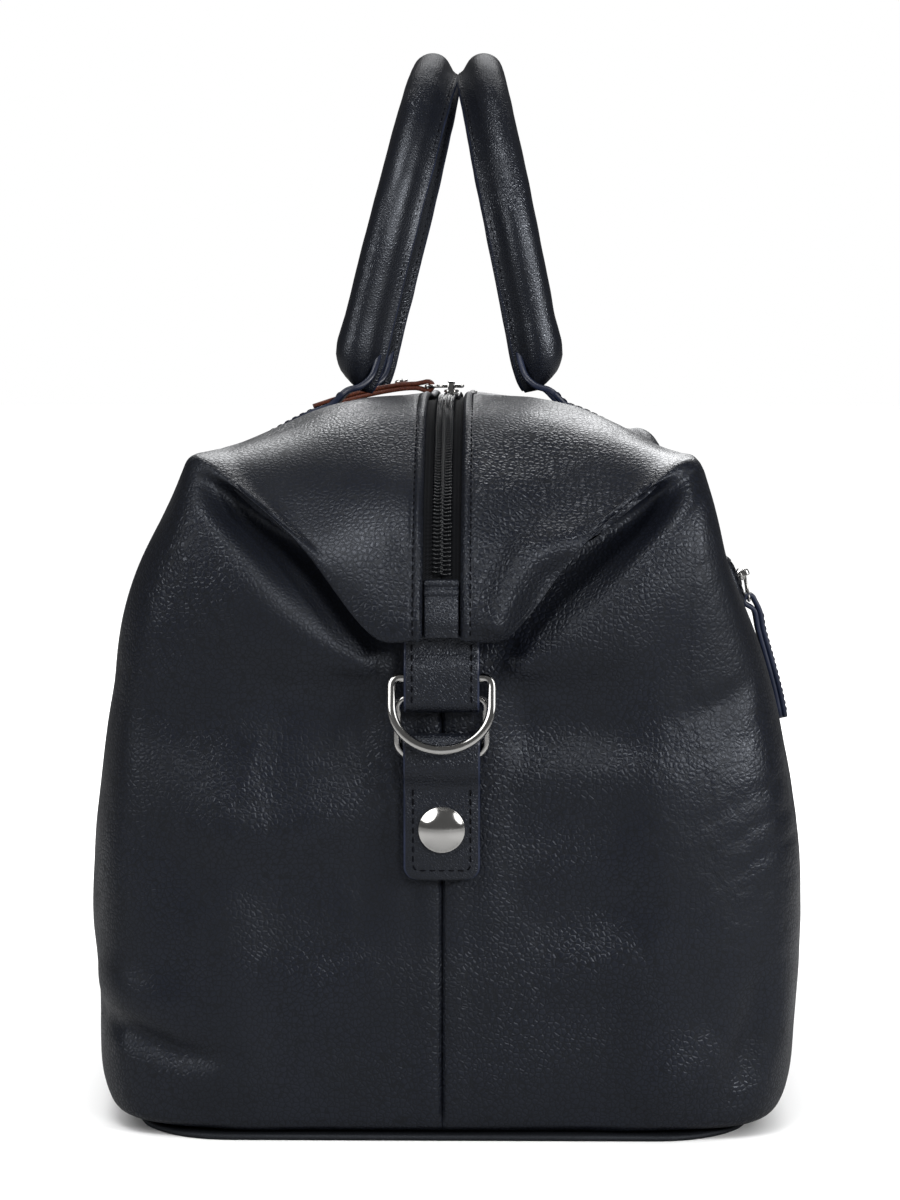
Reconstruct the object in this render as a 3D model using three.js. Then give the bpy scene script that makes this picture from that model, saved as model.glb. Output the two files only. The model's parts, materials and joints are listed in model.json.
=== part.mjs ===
// A soft leather travel bag with a zipped top whose two ends fold down as wings over the end panels.
// Millimetres. X is across the bag, with the pocket on +X. Y is along it, with the near end at -Y.
// Z is up, and the origin is at the middle of the base, on the floor.
import * as THREE from 'three';

// Driving dimensions
const leather = 2;
const clearance = 0.35;
const slotHalfWidth = 7;
const zipHeight = 280;
const wingTipReach = 250;
const baseHalfWidth = 118;
const baseHalfLength = 232;
const baseCorner = 38;
const baseThickness = 2.3;

const zipTapeHalfWidth = 9.5;
const zipTapeThickness = 0.8;
const zipTapeDepth = 3.4;
const zipChainHalfWidth = 3.5;
const zipChainThickness = 2;
const zipChainDepth = 1;
const zipCapHalfWidth = 6.5;
const zipCapThickness = 2.1;
const zipCapDepth = 0.8;
const zipCapLength = 24;
const capStart = 1;
const sliderSpacing = 21;

const strapWidth = 28;
const loopReach = 240.6;
const tunnelRadius = 2.6;
const strapBottom = 163.6;
const strapTop = 192.8;
const shoulderRing = { halfWidth: 18.5, height: 27.5, roundness: 17, wire: 1.75, barHeight: 176.5 };
const shoulderRingLean = 20;
const keeperRing = { halfWidth: 16.4, height: 24, roundness: 8, wire: 1.5, barHeight: 168.6 };
const tabWidth = 28.5;
const tabBottom = 101;
const tabThickness = 4.4;
const tabBack = 236.7;
const tabLoopRadius = 2.4;
const snapRadius = 8.7;
const snapHeight = 4.6;
const snapCentre = 120;

const handleDiameter = 22;
const handleHalfSpan = 72;
const handleTop = 421;
const handleSpring = 334;
const handleFoot = { x: 39.5, z: 288 };
const frontHandleTopX = 14.2;
const backHandleTopX = 8.1;
const handleTabWidth = 26;
const handleTabThickness = 2.4;

const sliderWidth = 7;
const linkWire = 0.75;
const linkReach = 10.8;
const linkLift = 4.1;
const pullWidth = 9.8;
const pullThickness = 3;
const pullHole = 1.15;
const rivetRadius = 2.6;
const rivetHeight = 1.2;
const pocketZipHeight = 206;
const pocketTapeHalfWidth = 7;
const pocketChainHalfWidth = 3;
const pocketPullLength = 50;

// Body wall: one row for each level, from the base seam up. steps is the number of rows of facets
// from the level before.
const wallLevels = [
  { name: 'hem', halfWidth: 113, halfLength: 227, corner: 36, height: 2.7, steps: 0 },
  { name: 'heel', halfWidth: 127.5, halfLength: 233, corner: 38, height: 6, steps: 1 },
  { name: 'foot', halfWidth: 134, halfLength: 235.5, corner: 42, height: 18, steps: 2 },
  { name: 'low', halfWidth: 136, halfLength: 236.5, corner: 47, height: 42, steps: 1 },
  { name: 'belly', halfWidth: 138.5, halfLength: 236.5, corner: 48, height: 85, steps: 2 },
  { name: 'waist', halfWidth: 136, halfLength: 236, corner: 46, height: 130, steps: 1 },
  { name: 'chest', halfWidth: 128, halfLength: 234.5, corner: 42, height: 170, steps: 2 },
];

// Folded top: one row for each fold line, from the end panel's lip up to the edge of the zip, each
// given where it meets the end seam, the wing's tip, the ear and the middle of the side. bow moves
// the line off its straight run half way from tip to ear, and bowAtEar just before the ear.
const foldLevels = [
  {
    name: 'lip', seam: [0, -234, 181], tip: [24, -234, 183], ear: [101, -226, 251], side: [114, 0, 212],
    corner: 34, bow: [0, -2, -12], bowAtEar: [3, -1, -5], steps: 2,
  },
  {
    name: 'valley', seam: [0, -225, 206], tip: [24, -223, 209], ear: [98.5, -226, 255], side: [105, 0, 231],
    corner: 30, bow: [0, 17, 1], bowAtEar: [1, 15, -3], steps: 3,
  },
  {
    name: 'fold', seam: [slotHalfWidth, -245, 193], tip: [24, -243.5, 195], ear: [94.5, -217, 257],
    side: [95, 0, 243], corner: 28, bow: [0, 0, 3], bowAtEar: [0, 0, 3], steps: 2,
  },
  {
    name: 'crease', seam: [slotHalfWidth, -249, 191], tip: [25, -247.5, 192], ear: [91, -216, 258.5],
    side: [88.5, 0, 250.5], corner: 28, bow: [0, -1, 3], bowAtEar: [0, -2, 3], steps: 1,
  },
  {
    name: 'roll', seam: [slotHalfWidth, -250, 195], tip: [20, -249.5, 198], ear: [83.5, -212, 262],
    side: [78, 0, 257.5], corner: 28, bow: [0, -3, 2], bowAtEar: [0, -2, 0], steps: 1,
  },
  {
    name: 'crown', seam: [slotHalfWidth, -250, 199], tip: [12, -247.5, 207], ear: [50, -190, 275],
    side: [46, 0, 273], corner: 40, bow: [0, -5, 6], bowAtEar: [0, 0, 0], steps: 2,
  },
  {
    name: 'zipEdge', seam: [slotHalfWidth, -wingTipReach + 1, 203], tip: [slotHalfWidth, -245.5, 213],
    ear: [slotHalfWidth, -180, 281], side: [slotHalfWidth, 0, zipHeight], corner: 50, bow: [0, -6, 6],
    bowAtEar: [0, -1, 2], steps: 2,
  },
];

// Stations round a quarter of the bag, from the end seam to the middle of the long side
const stations = [
  { name: 'seam', at: 0, steps: 0 },
  { name: 'tip', at: 0.1, steps: 2 },
  { name: 'middle', at: 0.27, steps: 4 },
  { name: 'earIn', at: 0.42, steps: 3 },
  { name: 'ear', at: 0.5, steps: 2 },
  { name: 'earOut', at: 0.58, steps: 2 },
  { name: 'side', at: 1, steps: 4 },
];

const colours = {
  navy: '#20242c',
  base: '#1b1d21',
  tape: '#15171b',
  tooth: '#1a1c20',
  nickel: '#d8d8d4',
  brown: '#7a3b24',
};

function material(colour, roughness, metalness = 0) {
  return new THREE.MeshStandardMaterial({ color: colour, roughness, metalness });
}

const navyLeather = material(colours.navy, 0.5);
const baseLeather = material(colours.base, 0.6);
const brownLeather = material(colours.brown, 0.55);
const tapeCloth = material(colours.tape, 0.85);
const toothPlastic = material(colours.tooth, 0.45);
const nickelMetal = material(colours.nickel, 0.2, 1);

const vector = (values) => new THREE.Vector3(...values);
const axisX = vector([1, 0, 0]);
const axisY = vector([0, 1, 0]);
const axisZ = vector([0, 0, 1]);

// Cubic curve through points at given knots, with slopes taken from the neighbours
function hermite(knots, points, at) {
  let i = 1;
  while (i < knots.length - 3 && at > knots[i + 1]) i += 1;
  const slope = (k) => points[k + 1].clone().sub(points[k - 1]).divideScalar(knots[k + 1] - knots[k - 1]);
  const span = knots[i + 1] - knots[i];
  const t = (at - knots[i]) / span;
  const startSlope = slope(i).multiplyScalar(span);
  const endSlope = slope(i + 1).multiplyScalar(span);
  const point = points[i].clone().multiplyScalar(2 * t ** 3 - 3 * t ** 2 + 1);
  point.addScaledVector(startSlope, t ** 3 - 2 * t ** 2 + t);
  point.addScaledVector(points[i + 1], -2 * t ** 3 + 3 * t ** 2);
  return point.addScaledVector(endSlope, t ** 3 - t ** 2);
}

// The seven station points of one level
function stationPoints(level) {
  const seam = vector(level.seam);
  const tip = vector(level.tip);
  const corner = vector(level.ear);
  const side = vector(level.side);
  const towards = (target) => {
    const direction = target.clone().sub(corner).normalize();
    return corner.clone().addScaledVector(direction, level.corner);
  };
  const earIn = towards(tip).add(vector(level.bowAtEar));
  const earOut = towards(side);
  const ear = corner.clone().multiplyScalar(0.5).addScaledVector(earIn, 0.25).addScaledVector(earOut, 0.25);
  const middle = tip.clone().lerp(earIn, 0.53).add(vector(level.bow));
  return [seam, tip, middle, earIn, ear, earOut, side];
}

// A level's closed line, mirrored past its two ends so that it crosses them squarely
function levelCurve(level) {
  const points = stationPoints(level);
  const [seam, tip] = points;
  const [earOut, side] = points.slice(-2);
  const before = new THREE.Vector3(2 * seam.x - tip.x, tip.y, tip.z);
  const after = new THREE.Vector3(earOut.x, -earOut.y, earOut.z);
  const knots = stations.map((station) => station.at);
  const knotBefore = -knots[1];
  const knotAfter = 2 - knots[knots.length - 2];
  return (around) => hermite([knotBefore, ...knots, knotAfter], [before, ...points, after], around);
}

function wallRow({ name, halfWidth, halfLength, corner, height, steps }) {
  const tipWidth = 24;
  return {
    name, corner, steps,
    seam: [0, -halfLength, height],
    tip: [tipWidth, -halfLength, height],
    ear: [halfWidth, -halfLength, height],
    side: [halfWidth, 0, height],
    bow: [0, 0, 0],
    bowAtEar: [0, 0, 0],
  };
}

const levels = [...wallLevels.map(wallRow), ...foldLevels];
const levelCurves = levels.map(levelCurve);

// One rib of the body, from base seam to zip edge, as a curve of the level number
function rib(around) {
  const points = levelCurves.map((curve) => curve(around));
  const knots = [0];
  for (let i = 1; i < points.length; i += 1) {
    knots.push(knots[i - 1] + Math.sqrt(points[i].distanceTo(points[i - 1])));
  }
  const last = points.length - 1;
  const before = points[0].clone().multiplyScalar(2).sub(points[1]);
  const after = points[last].clone().multiplyScalar(2).sub(points[last - 1]);
  const allKnots = [-knots[1], ...knots, 2 * knots[last] - knots[last - 1]];
  const allPoints = [before, ...points, after];
  return (level) => {
    const whole = Math.min(Math.floor(level), last - 1);
    const at = knots[whole] + (level - whole) * (knots[whole + 1] - knots[whole]);
    return hermite(allKnots, allPoints, at);
  };
}

// Evenly divided stretches: the start, then each row's own number of steps
function divide(rows, valueOf) {
  const values = [valueOf(rows[0], 0)];
  for (let i = 1; i < rows.length; i += 1) {
    const from = valueOf(rows[i - 1], i - 1);
    const to = valueOf(rows[i], i);
    for (let k = 1; k <= rows[i].steps; k += 1) values.push(from + ((to - from) * k) / rows[i].steps);
  }
  return values;
}

const aroundValues = divide(stations, (station) => station.at);
const levelValues = divide(levels, (level, index) => index);

// Outer face of a stretch of one body panel as columns of points, from the near seam round the side to
// the far seam
function panelColumns(rows) {
  const near = aroundValues.map((around) => {
    const curve = rib(around);
    return rows.map((level) => curve(level));
  });
  for (const point of near[0]) point.x = Math.max(point.x, clearance / 2);
  const mirrored = near.slice(0, -1).reverse();
  const far = mirrored.map((column) => column.map((p) => new THREE.Vector3(p.x, -p.y, p.z)));
  return [...near, ...far];
}

function gridNormal(grid, i, j) {
  const previous = grid[Math.max(i - 1, 0)][j];
  const next = grid[Math.min(i + 1, grid.length - 1)][j];
  const lower = grid[i][Math.max(j - 1, 0)];
  const upper = grid[i][Math.min(j + 1, grid[i].length - 1)];
  return next.clone().sub(previous).cross(upper.clone().sub(lower)).normalize();
}

// A closed body, turned so that its faces look outwards
function closedGeometry(points, triangles) {
  const volume = triangles.reduce((sum, [a, b, c]) => (
    sum + points[a].dot(points[b].clone().cross(points[c]))), 0);
  const facing = volume < 0 ? triangles.map(([a, b, c]) => [a, c, b]) : triangles;
  const geometry = new THREE.BufferGeometry().setFromPoints(points);
  geometry.setIndex(facing.flat());
  geometry.computeVertexNormals();
  return geometry;
}

// A sheet of even thickness under a grid of points, closed along its four edges. Its underside comes
// no nearer to the middle of the bag than the face above it or the edge of the zip. Rows left out at
// the bottom or top belong to the next sheet, and only give this one's edge its slope.
function thickSheet(grid, thickness, leftOutBelow = 0, leftOutAbove = 0) {
  const rows = grid[0].length - leftOutBelow - leftOutAbove;
  const kept = (column) => column.slice(leftOutBelow, leftOutBelow + rows);
  const outer = grid.flatMap(kept);
  const inner = grid.flatMap((column, i) => kept(column.map((point, j) => {
    const under = point.clone().addScaledVector(gridNormal(grid, i, j), -thickness);
    under.x = Math.max(under.x, Math.min(point.x, slotHalfWidth));
    return under;
  })));
  const top = (i, j) => i * rows + j;
  const under = (i, j) => outer.length + i * rows + j;
  const triangles = [];
  const quad = (a, b, c, d) => triangles.push([a, b, c], [a, c, d]);
  for (let i = 0; i < grid.length - 1; i += 1) {
    for (let j = 0; j < rows - 1; j += 1) {
      quad(top(i, j), top(i + 1, j), top(i + 1, j + 1), top(i, j + 1));
      quad(under(i, j), under(i, j + 1), under(i + 1, j + 1), under(i + 1, j));
    }
    quad(under(i, 0), under(i + 1, 0), top(i + 1, 0), top(i, 0));
    quad(top(i, rows - 1), top(i + 1, rows - 1), under(i + 1, rows - 1), under(i, rows - 1));
  }
  const last = grid.length - 1;
  for (let j = 0; j < rows - 1; j += 1) {
    quad(top(0, j), top(0, j + 1), under(0, j + 1), under(0, j));
    quad(under(last, j), under(last, j + 1), top(last, j + 1), top(last, j));
  }
  return closedGeometry([...outer, ...inner], triangles);
}

function piece(name, geometry, finish) {
  const mesh = new THREE.Mesh(geometry, finish);
  mesh.name = name;
  return mesh;
}

// A round or flattened tube through a row of sections, closed at both ends or back on itself
function loft(sections, isLoop = false) {
  const sides = sections[0].length;
  const triangles = [];
  const spans = isLoop ? sections.length : sections.length - 1;
  for (let i = 0; i < spans; i += 1) {
    const here = i * sides;
    const next = ((i + 1) % sections.length) * sides;
    for (let k = 0; k < sides; k += 1) {
      const after = (k + 1) % sides;
      triangles.push([here + k, here + after, next + after], [here + k, next + after, next + k]);
    }
  }
  if (!isLoop) {
    const last = (sections.length - 1) * sides;
    for (let k = 1; k < sides - 1; k += 1) triangles.push([0, k + 1, k], [last, last + k, last + k + 1]);
  }
  return closedGeometry(sections.flat(), triangles);
}

// A wire bent along a flat closed outline in the XZ plane
function wireLoop(outline, radius, sides = 6) {
  const count = outline.length;
  const sections = outline.map((point, i) => {
    const tangent = outline[(i + 1) % count].clone().sub(outline[(i + count - 1) % count]).normalize();
    const across = tangent.clone().cross(axisY);
    return Array.from({ length: sides }, (unused, k) => {
      const angle = (2 * Math.PI * (k + 0.5)) / sides;
      const offset = across.clone().multiplyScalar(radius * Math.cos(angle));
      return point.clone().add(offset).addScaledVector(axisY, radius * Math.sin(angle));
    });
  });
  return loft(sections, true);
}

function arcPoints(centreX, centreZ, radiusX, radiusZ, fromDegrees, toDegrees, steps) {
  return Array.from({ length: steps + 1 }, (unused, k) => {
    const angle = THREE.MathUtils.degToRad(fromDegrees + ((toDegrees - fromDegrees) * k) / steps);
    return vector([centreX + radiusX * Math.cos(angle), 0, centreZ + radiusZ * Math.sin(angle)]);
  });
}

// A D-ring hanging from its flat bar, which lies along X through the origin
function ringGeometry({ halfWidth, height, roundness, wire }) {
  const bend = 3.2;
  const outline = [
    ...arcPoints(bend - halfWidth, -bend, bend, bend, 180, 90, 3),
    ...arcPoints(halfWidth - bend, -bend, bend, bend, 90, 0, 3),
    ...arcPoints(0, roundness - height, halfWidth, roundness, 0, -180, 12),
  ];
  return wireLoop(outline, wire);
}

// A profile drawn in Y and Z, given a width across X
function acrossX(shape, width) {
  const geometry = new THREE.ExtrudeGeometry(shape, { depth: width, bevelEnabled: false, curveSegments: 6 });
  geometry.translate(0, 0, -width / 2);
  return geometry.applyMatrix4(new THREE.Matrix4().makeBasis(axisY, axisZ, axisX));
}

// A profile drawn in X and Z, given a width along Y
function alongY(shape, width) {
  const geometry = new THREE.ExtrudeGeometry(shape, { depth: width, bevelEnabled: false, curveSegments: 5 });
  geometry.translate(0, 0, -width / 2);
  return geometry.applyMatrix4(new THREE.Matrix4().makeBasis(axisX, axisZ, axisY.clone().negate()));
}

// A straight-sided slot with round ends, as a hole for a strap's loop
function slotHole(centre, radius, bottom, top) {
  const hole = new THREE.Path();
  hole.moveTo(centre - radius, top - radius);
  hole.absarc(centre, bottom + radius, radius, Math.PI, 2 * Math.PI, false);
  hole.absarc(centre, top - radius, radius, 0, Math.PI, false);
  return hole;
}

function basePanel() {
  const shape = new THREE.Shape();
  const arc = (x, y, quarter) => shape.absarc(
    x * (baseHalfWidth - baseCorner), y * (baseHalfLength - baseCorner), baseCorner,
    (quarter * Math.PI) / 2, ((quarter + 1) * Math.PI) / 2, false);
  arc(1, 1, 0);
  arc(-1, 1, 1);
  arc(-1, -1, 2);
  arc(1, -1, 3);
  return new THREE.ExtrudeGeometry(shape, { depth: baseThickness, bevelEnabled: false, curveSegments: 6 });
}

// The line of the main zip in Y and Z, from the near wing's tip over the ridge to the far one
function zipLine() {
  const creaseLevel = levels.findIndex((level) => level.name === 'crease');
  const zipLevel = levels.length - 1;
  const tipRib = rib(0);
  const points = [creaseLevel, creaseLevel + 1, creaseLevel + 2].map((level) => tipRib(level));
  const around = [0, 0.05, 0.1, 0.18, 0.27, 0.35, 0.42, 0.46, 0.5, 0.54, 0.58, 0.72, 0.86, 1];
  points.push(...around.map((value) => levelCurves[zipLevel](value)));
  const far = points.slice(0, -1).reverse().map((p) => vector([p.x, -p.y, p.z]));
  const flat = [...points, ...far].map((p) => vector([0, p.y, p.z]));
  return new THREE.CatmullRomCurve3(flat, false, 'centripetal');
}

const zipCurve = zipLine();
const zipLength = zipCurve.getLength();
const zipStops = Array.from({ length: 35 }, (unused, k) => (zipLength * k) / 34);

// A band lying along the zip line, from one length along it to another, a depth below its surface
function zipBand(fromLength, toLength, depth, thickness, fromX, toX) {
  const upper = [];
  const lower = [];
  const stops = zipStops.filter((stop) => stop > fromLength + 1 && stop < toLength - 1);
  for (const stop of [fromLength, ...stops, toLength]) {
    const at = stop / zipLength;
    const point = zipCurve.getPointAt(at);
    const inward = zipCurve.getTangentAt(at).cross(axisX);
    const top = point.clone().addScaledVector(inward, depth);
    const bottom = point.clone().addScaledVector(inward, depth + thickness);
    upper.push(new THREE.Vector2(top.y, top.z));
    lower.unshift(new THREE.Vector2(bottom.y, bottom.z));
  }
  const geometry = acrossX(new THREE.Shape([...upper, ...lower]), toX - fromX);
  return geometry.translate((fromX + toX) / 2, 0, 0);
}

// The strap loop under the wing's tip, doubled round the bars of both rings
function ringStrap() {
  const half = tunnelRadius + leather;
  const neck = leather + clearance / 2;
  const centre = -loopReach;
  const bend = strapBottom + half;
  const shape = new THREE.Shape();
  shape.moveTo(centre - neck, strapTop);
  shape.lineTo(centre - neck, strapTop - 6);
  shape.lineTo(centre - half, strapTop - 13);
  shape.absarc(centre, bend, half, Math.PI, 2 * Math.PI, false);
  shape.lineTo(centre + half, strapTop - 13);
  shape.lineTo(centre + neck, strapTop - 6);
  shape.lineTo(centre + neck, strapTop);
  shape.holes.push(slotHole(centre, tunnelRadius, strapBottom + leather, shoulderRing.barHeight + 3.2));
  return acrossX(shape, strapWidth);
}

// The snap tab: a doubled strap, open at its top for the keeper ring and closed below
function snapTab() {
  const half = tabLoopRadius + leather;
  const centre = -loopReach;
  const ringBottom = keeperRing.barHeight - keeperRing.height;
  const loopTop = ringBottom + 11;
  const front = -tabBack - tabThickness;
  const shape = new THREE.Shape();
  shape.moveTo(front, tabBottom);
  shape.lineTo(-tabBack, tabBottom);
  shape.lineTo(-tabBack, ringBottom - 7);
  shape.lineTo(centre + half, ringBottom - 2);
  shape.absarc(centre, loopTop - half, half, 0, Math.PI, false);
  shape.lineTo(centre - half, ringBottom - 2);
  shape.lineTo(front, ringBottom - 9);
  shape.holes.push(slotHole(centre, tabLoopRadius, ringBottom - 2.6, loopTop - leather));
  return acrossX(shape, tabWidth);
}

// A domed cap whose flat face is at the origin and whose dome points along +Y
function domeGeometry(radius, height, segments) {
  const rows = [[0, 0], [1, 0], [1, 0.2], [0.86, 0.58], [0.55, 0.88], [0, 1]];
  const profile = rows.map(([r, h]) => new THREE.Vector2(r * radius, h * height));
  return new THREE.LatheGeometry(profile, segments);
}

// Strap, rings, tab and stud of the near end
function endHardware(end) {
  const group = new THREE.Group();
  group.add(piece(`ring_strap_${end}`, ringStrap(), navyLeather));
  const shoulder = piece(`shoulder_ring_${end}`, ringGeometry(shoulderRing), nickelMetal);
  shoulder.position.set(0, -loopReach, shoulderRing.barHeight);
  shoulder.rotation.x = -THREE.MathUtils.degToRad(shoulderRingLean);
  const keeper = piece(`keeper_ring_${end}`, ringGeometry(keeperRing), nickelMetal);
  keeper.position.set(0, -loopReach, keeperRing.barHeight);
  const cap = piece(`snap_cap_${end}`, domeGeometry(snapRadius, snapHeight, 16), nickelMetal);
  cap.position.set(0, -tabBack - tabThickness - clearance, snapCentre);
  cap.rotation.x = Math.PI;
  group.add(shoulder, keeper, cap);
  group.add(piece(`snap_tab_${end}`, snapTab(), navyLeather));
  const zipCap = zipBand(
    capStart, zipCapLength, zipCapDepth, zipCapThickness, -zipCapHalfWidth, zipCapHalfWidth);
  group.add(piece(`zip_cap_${end}`, zipCap, navyLeather));
  return group;
}

// A point of the body's outer face on one rib, with the way it faces
function surfaceAt(around, level) {
  const nudge = 0.004;
  const point = rib(around)(level);
  const along = rib(Math.min(around + nudge, 1))(level).sub(rib(around - nudge)(level));
  const up = rib(around)(level + nudge).sub(rib(around)(level - nudge));
  return { point, normal: along.cross(up).normalize() };
}

// The value between two limits where a rising quantity reaches a target
function solve(low, high, target, quantity) {
  let [from, to] = [low, high];
  for (let k = 0; k < 24; k += 1) {
    const middle = (from + to) / 2;
    if (quantity(middle) < target) from = middle;
    else to = middle;
  }
  return from;
}

// Where a rib of the side reaches a height, between the belly and the fold
function surfaceAtHeight(around, height) {
  const belly = levels.findIndex((level) => level.name === 'belly');
  const fold = levels.findIndex((level) => level.name === 'fold');
  const curve = rib(around);
  return surfaceAt(around, solve(belly, fold, height, (level) => curve(level).z));
}

// The body's outer face on the slope of its top, at a distance across and along the bag
function slopeAt(x, y) {
  const crease = levels.findIndex((level) => level.name === 'crease');
  const crown = levels.findIndex((level) => level.name === 'crown');
  const aroundAt = (level) => solve(0.58, 1, y, (around) => rib(around)(level).y);
  const level = solve(crease, crown + 0.8, -x, (value) => -rib(aroundAt(value))(value).x);
  return surfaceAt(aroundAt(level), level);
}

// One row for each section of half a handle: where its middle is, the way its flat side faces, its
// width and thickness, and how square it is
function handleRows(topX) {
  const tabRows = [
    { x: 87, width: 13 },
    { x: 84, width: 22 },
    { x: 79, width: handleTabWidth },
    { x: 65, width: handleTabWidth },
    { x: 52, width: handleTabWidth },
  ];
  const rows = tabRows.map(({ x, width }) => {
    const { point, normal } = slopeAt(x, -handleHalfSpan);
    const lift = 2 * clearance + handleTabThickness / 2;
    point.addScaledVector(normal, lift);
    return { point, normal, width, thickness: handleTabThickness, square: 4 };
  });
  const slope = (handleFoot.x - topX) / (handleTop - handleFoot.z);
  const lean = (z) => handleFoot.x - (z - handleFoot.z) * slope;
  const facing = vector([1, 0, slope]).normalize();
  const leg = (y, z, width, thickness, square) => ({
    point: vector([lean(z), y, z]), normal: facing, width, thickness, square,
  });
  rows.push({
    point: vector([44, -handleHalfSpan, 280.2]), normal: vector([0.6, 0, 0.8]),
    width: 25, thickness: 4, square: 3,
  });
  rows.push(leg(-handleHalfSpan, handleFoot.z, 22.5, 12, 2.4));
  rows.push(leg(-handleHalfSpan, 299, 21.5, 20, 2));
  rows.push(leg(-handleHalfSpan, 316, handleDiameter, handleDiameter, 2));
  for (const degrees of [0, 18, 36, 54, 72, 90]) {
    const angle = THREE.MathUtils.degToRad(degrees);
    const z = handleSpring + (handleTop - handleSpring) * Math.sin(angle);
    rows.push(leg(-handleHalfSpan * Math.cos(angle), z, handleDiameter, handleDiameter, 2));
  }
  return rows;
}

// A rolled handle whose ends flatten into tabs lying on the top of the bag. topX is how far the top of
// its arch stands from the middle of the bag.
function handleGeometry(topX) {
  const sides = 10;
  const half = handleRows(topX);
  const mirrorY = (v) => vector([v.x, -v.y, v.z]);
  const far = half.slice(0, -1).reverse().map((row) => ({
    ...row, point: mirrorY(row.point), normal: mirrorY(row.normal),
  }));
  const rows = [...half, ...far];
  const sections = rows.map((row, i) => {
    const next = rows[Math.min(i + 1, rows.length - 1)].point;
    const tangent = next.clone().sub(rows[Math.max(i - 1, 0)].point).normalize();
    const across = row.normal.clone().cross(tangent).normalize();
    const outward = tangent.clone().cross(across);
    return Array.from({ length: sides }, (unused, k) => {
      const angle = (2 * Math.PI * (k + 0.5)) / sides;
      const round = (value) => Math.sign(value) * Math.abs(value) ** (2 / row.square);
      const wide = (row.width / 2) * round(Math.cos(angle));
      const thick = (row.thickness / 2) * round(Math.sin(angle));
      return row.point.clone().addScaledVector(across, wide).addScaledVector(outward, thick);
    });
  });
  return loft(sections);
}

// A zip slider with its bail: the zip runs along Y, the chain is under it and the bail stands up in Z
function sliderGeometry() {
  const shape = new THREE.Shape();
  const half = [[6.5, 0], [6.5, 2.4], [4.4, 3], [3.8, 6], [2.6, 6.6]];
  const outline = [...half, ...half.slice().reverse().map(([y, z]) => [-y, z])];
  shape.setFromPoints(outline.map(([y, z]) => new THREE.Vector2(y, z)));
  const hole = new THREE.Path();
  hole.moveTo(-2.6, linkLift - 1.1);
  hole.lineTo(2.6, linkLift - 1.1);
  hole.lineTo(2.6, linkLift + 1.1);
  hole.lineTo(-2.6, linkLift + 1.1);
  shape.holes.push(hole);
  return acrossX(shape, sliderWidth);
}

// The wire link through a slider's bail, lying flat, with its wide end at -X
function linkGeometry() {
  const half = [[1.1, 4.5], [1.5, 4.1], [1.5, -4.2], [5.7, -7.6], [6.3, -9.4], [5.8, -linkReach]];
  const other = half.slice().reverse().map(([y, x]) => [-y, x]);
  const outline = [...half, ...other].map(([y, x]) => vector([y, 0, x]));
  const geometry = wireLoop(outline, linkWire);
  return geometry.applyMatrix4(new THREE.Matrix4().makeBasis(axisY, axisZ, axisX));
}

// A leather pull folded round a link's bar: its middle line is given in X and Z, from the bar to the tip
function pullGeometry(line) {
  const upper = [];
  const lower = [];
  line.forEach((point, i) => {
    const before = line[Math.max(i - 1, 0)];
    const along = line[Math.min(i + 1, line.length - 1)].clone().sub(before).normalize();
    const side = new THREE.Vector2(-along.y, along.x);
    const reach = i === 0 ? pullHole + pullThickness / 2 : pullThickness / 2;
    upper.push(point.clone().addScaledVector(side, reach));
    lower.unshift(point.clone().addScaledVector(side, -reach));
    if (i === 0) lower.push(point.clone().addScaledVector(along, -reach));
  });
  const shape = new THREE.Shape([...upper, ...lower]);
  const hole = new THREE.Path();
  hole.absarc(line[0].x, line[0].y, pullHole, 0, 2 * Math.PI, false);
  shape.holes.push(hole);
  return alongY(shape, pullWidth);
}

// Slider, link, brown pull and rivet of the main zip, lying over to the back of the bag
function mainPull(end, y) {
  const group = new THREE.Group();
  const chainTop = zipHeight - zipChainDepth + clearance;
  const link = piece(`pull_link_${end}`, linkGeometry(), nickelMetal);
  link.position.z = chainTop + linkLift;
  const slider = piece(`zip_slider_${end}`, sliderGeometry(), nickelMetal);
  slider.position.z = chainTop;
  const bar = [-linkReach, chainTop + linkLift];
  const rows = [bar, [-14.5, 283.2], [-22, 282], [-34, 279.4], [-48, 275.8], [-61, 271.6]];
  const line = rows.map(([x, z]) => new THREE.Vector2(x, z));
  const tab = piece(`pull_tab_${end}`, pullGeometry(line), brownLeather);
  const rivet = piece(`pull_rivet_${end}`, domeGeometry(rivetRadius, rivetHeight, 8), nickelMetal);
  rivet.position.set(-22, 0, 282 + pullThickness / 2 + clearance);
  rivet.rotation.order = 'YXZ';
  rivet.rotation.set(Math.PI / 2, -Math.atan2(2.8, 15), 0);
  group.add(slider, link, tab, rivet);
  group.position.y = y;
  return group;
}

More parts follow.
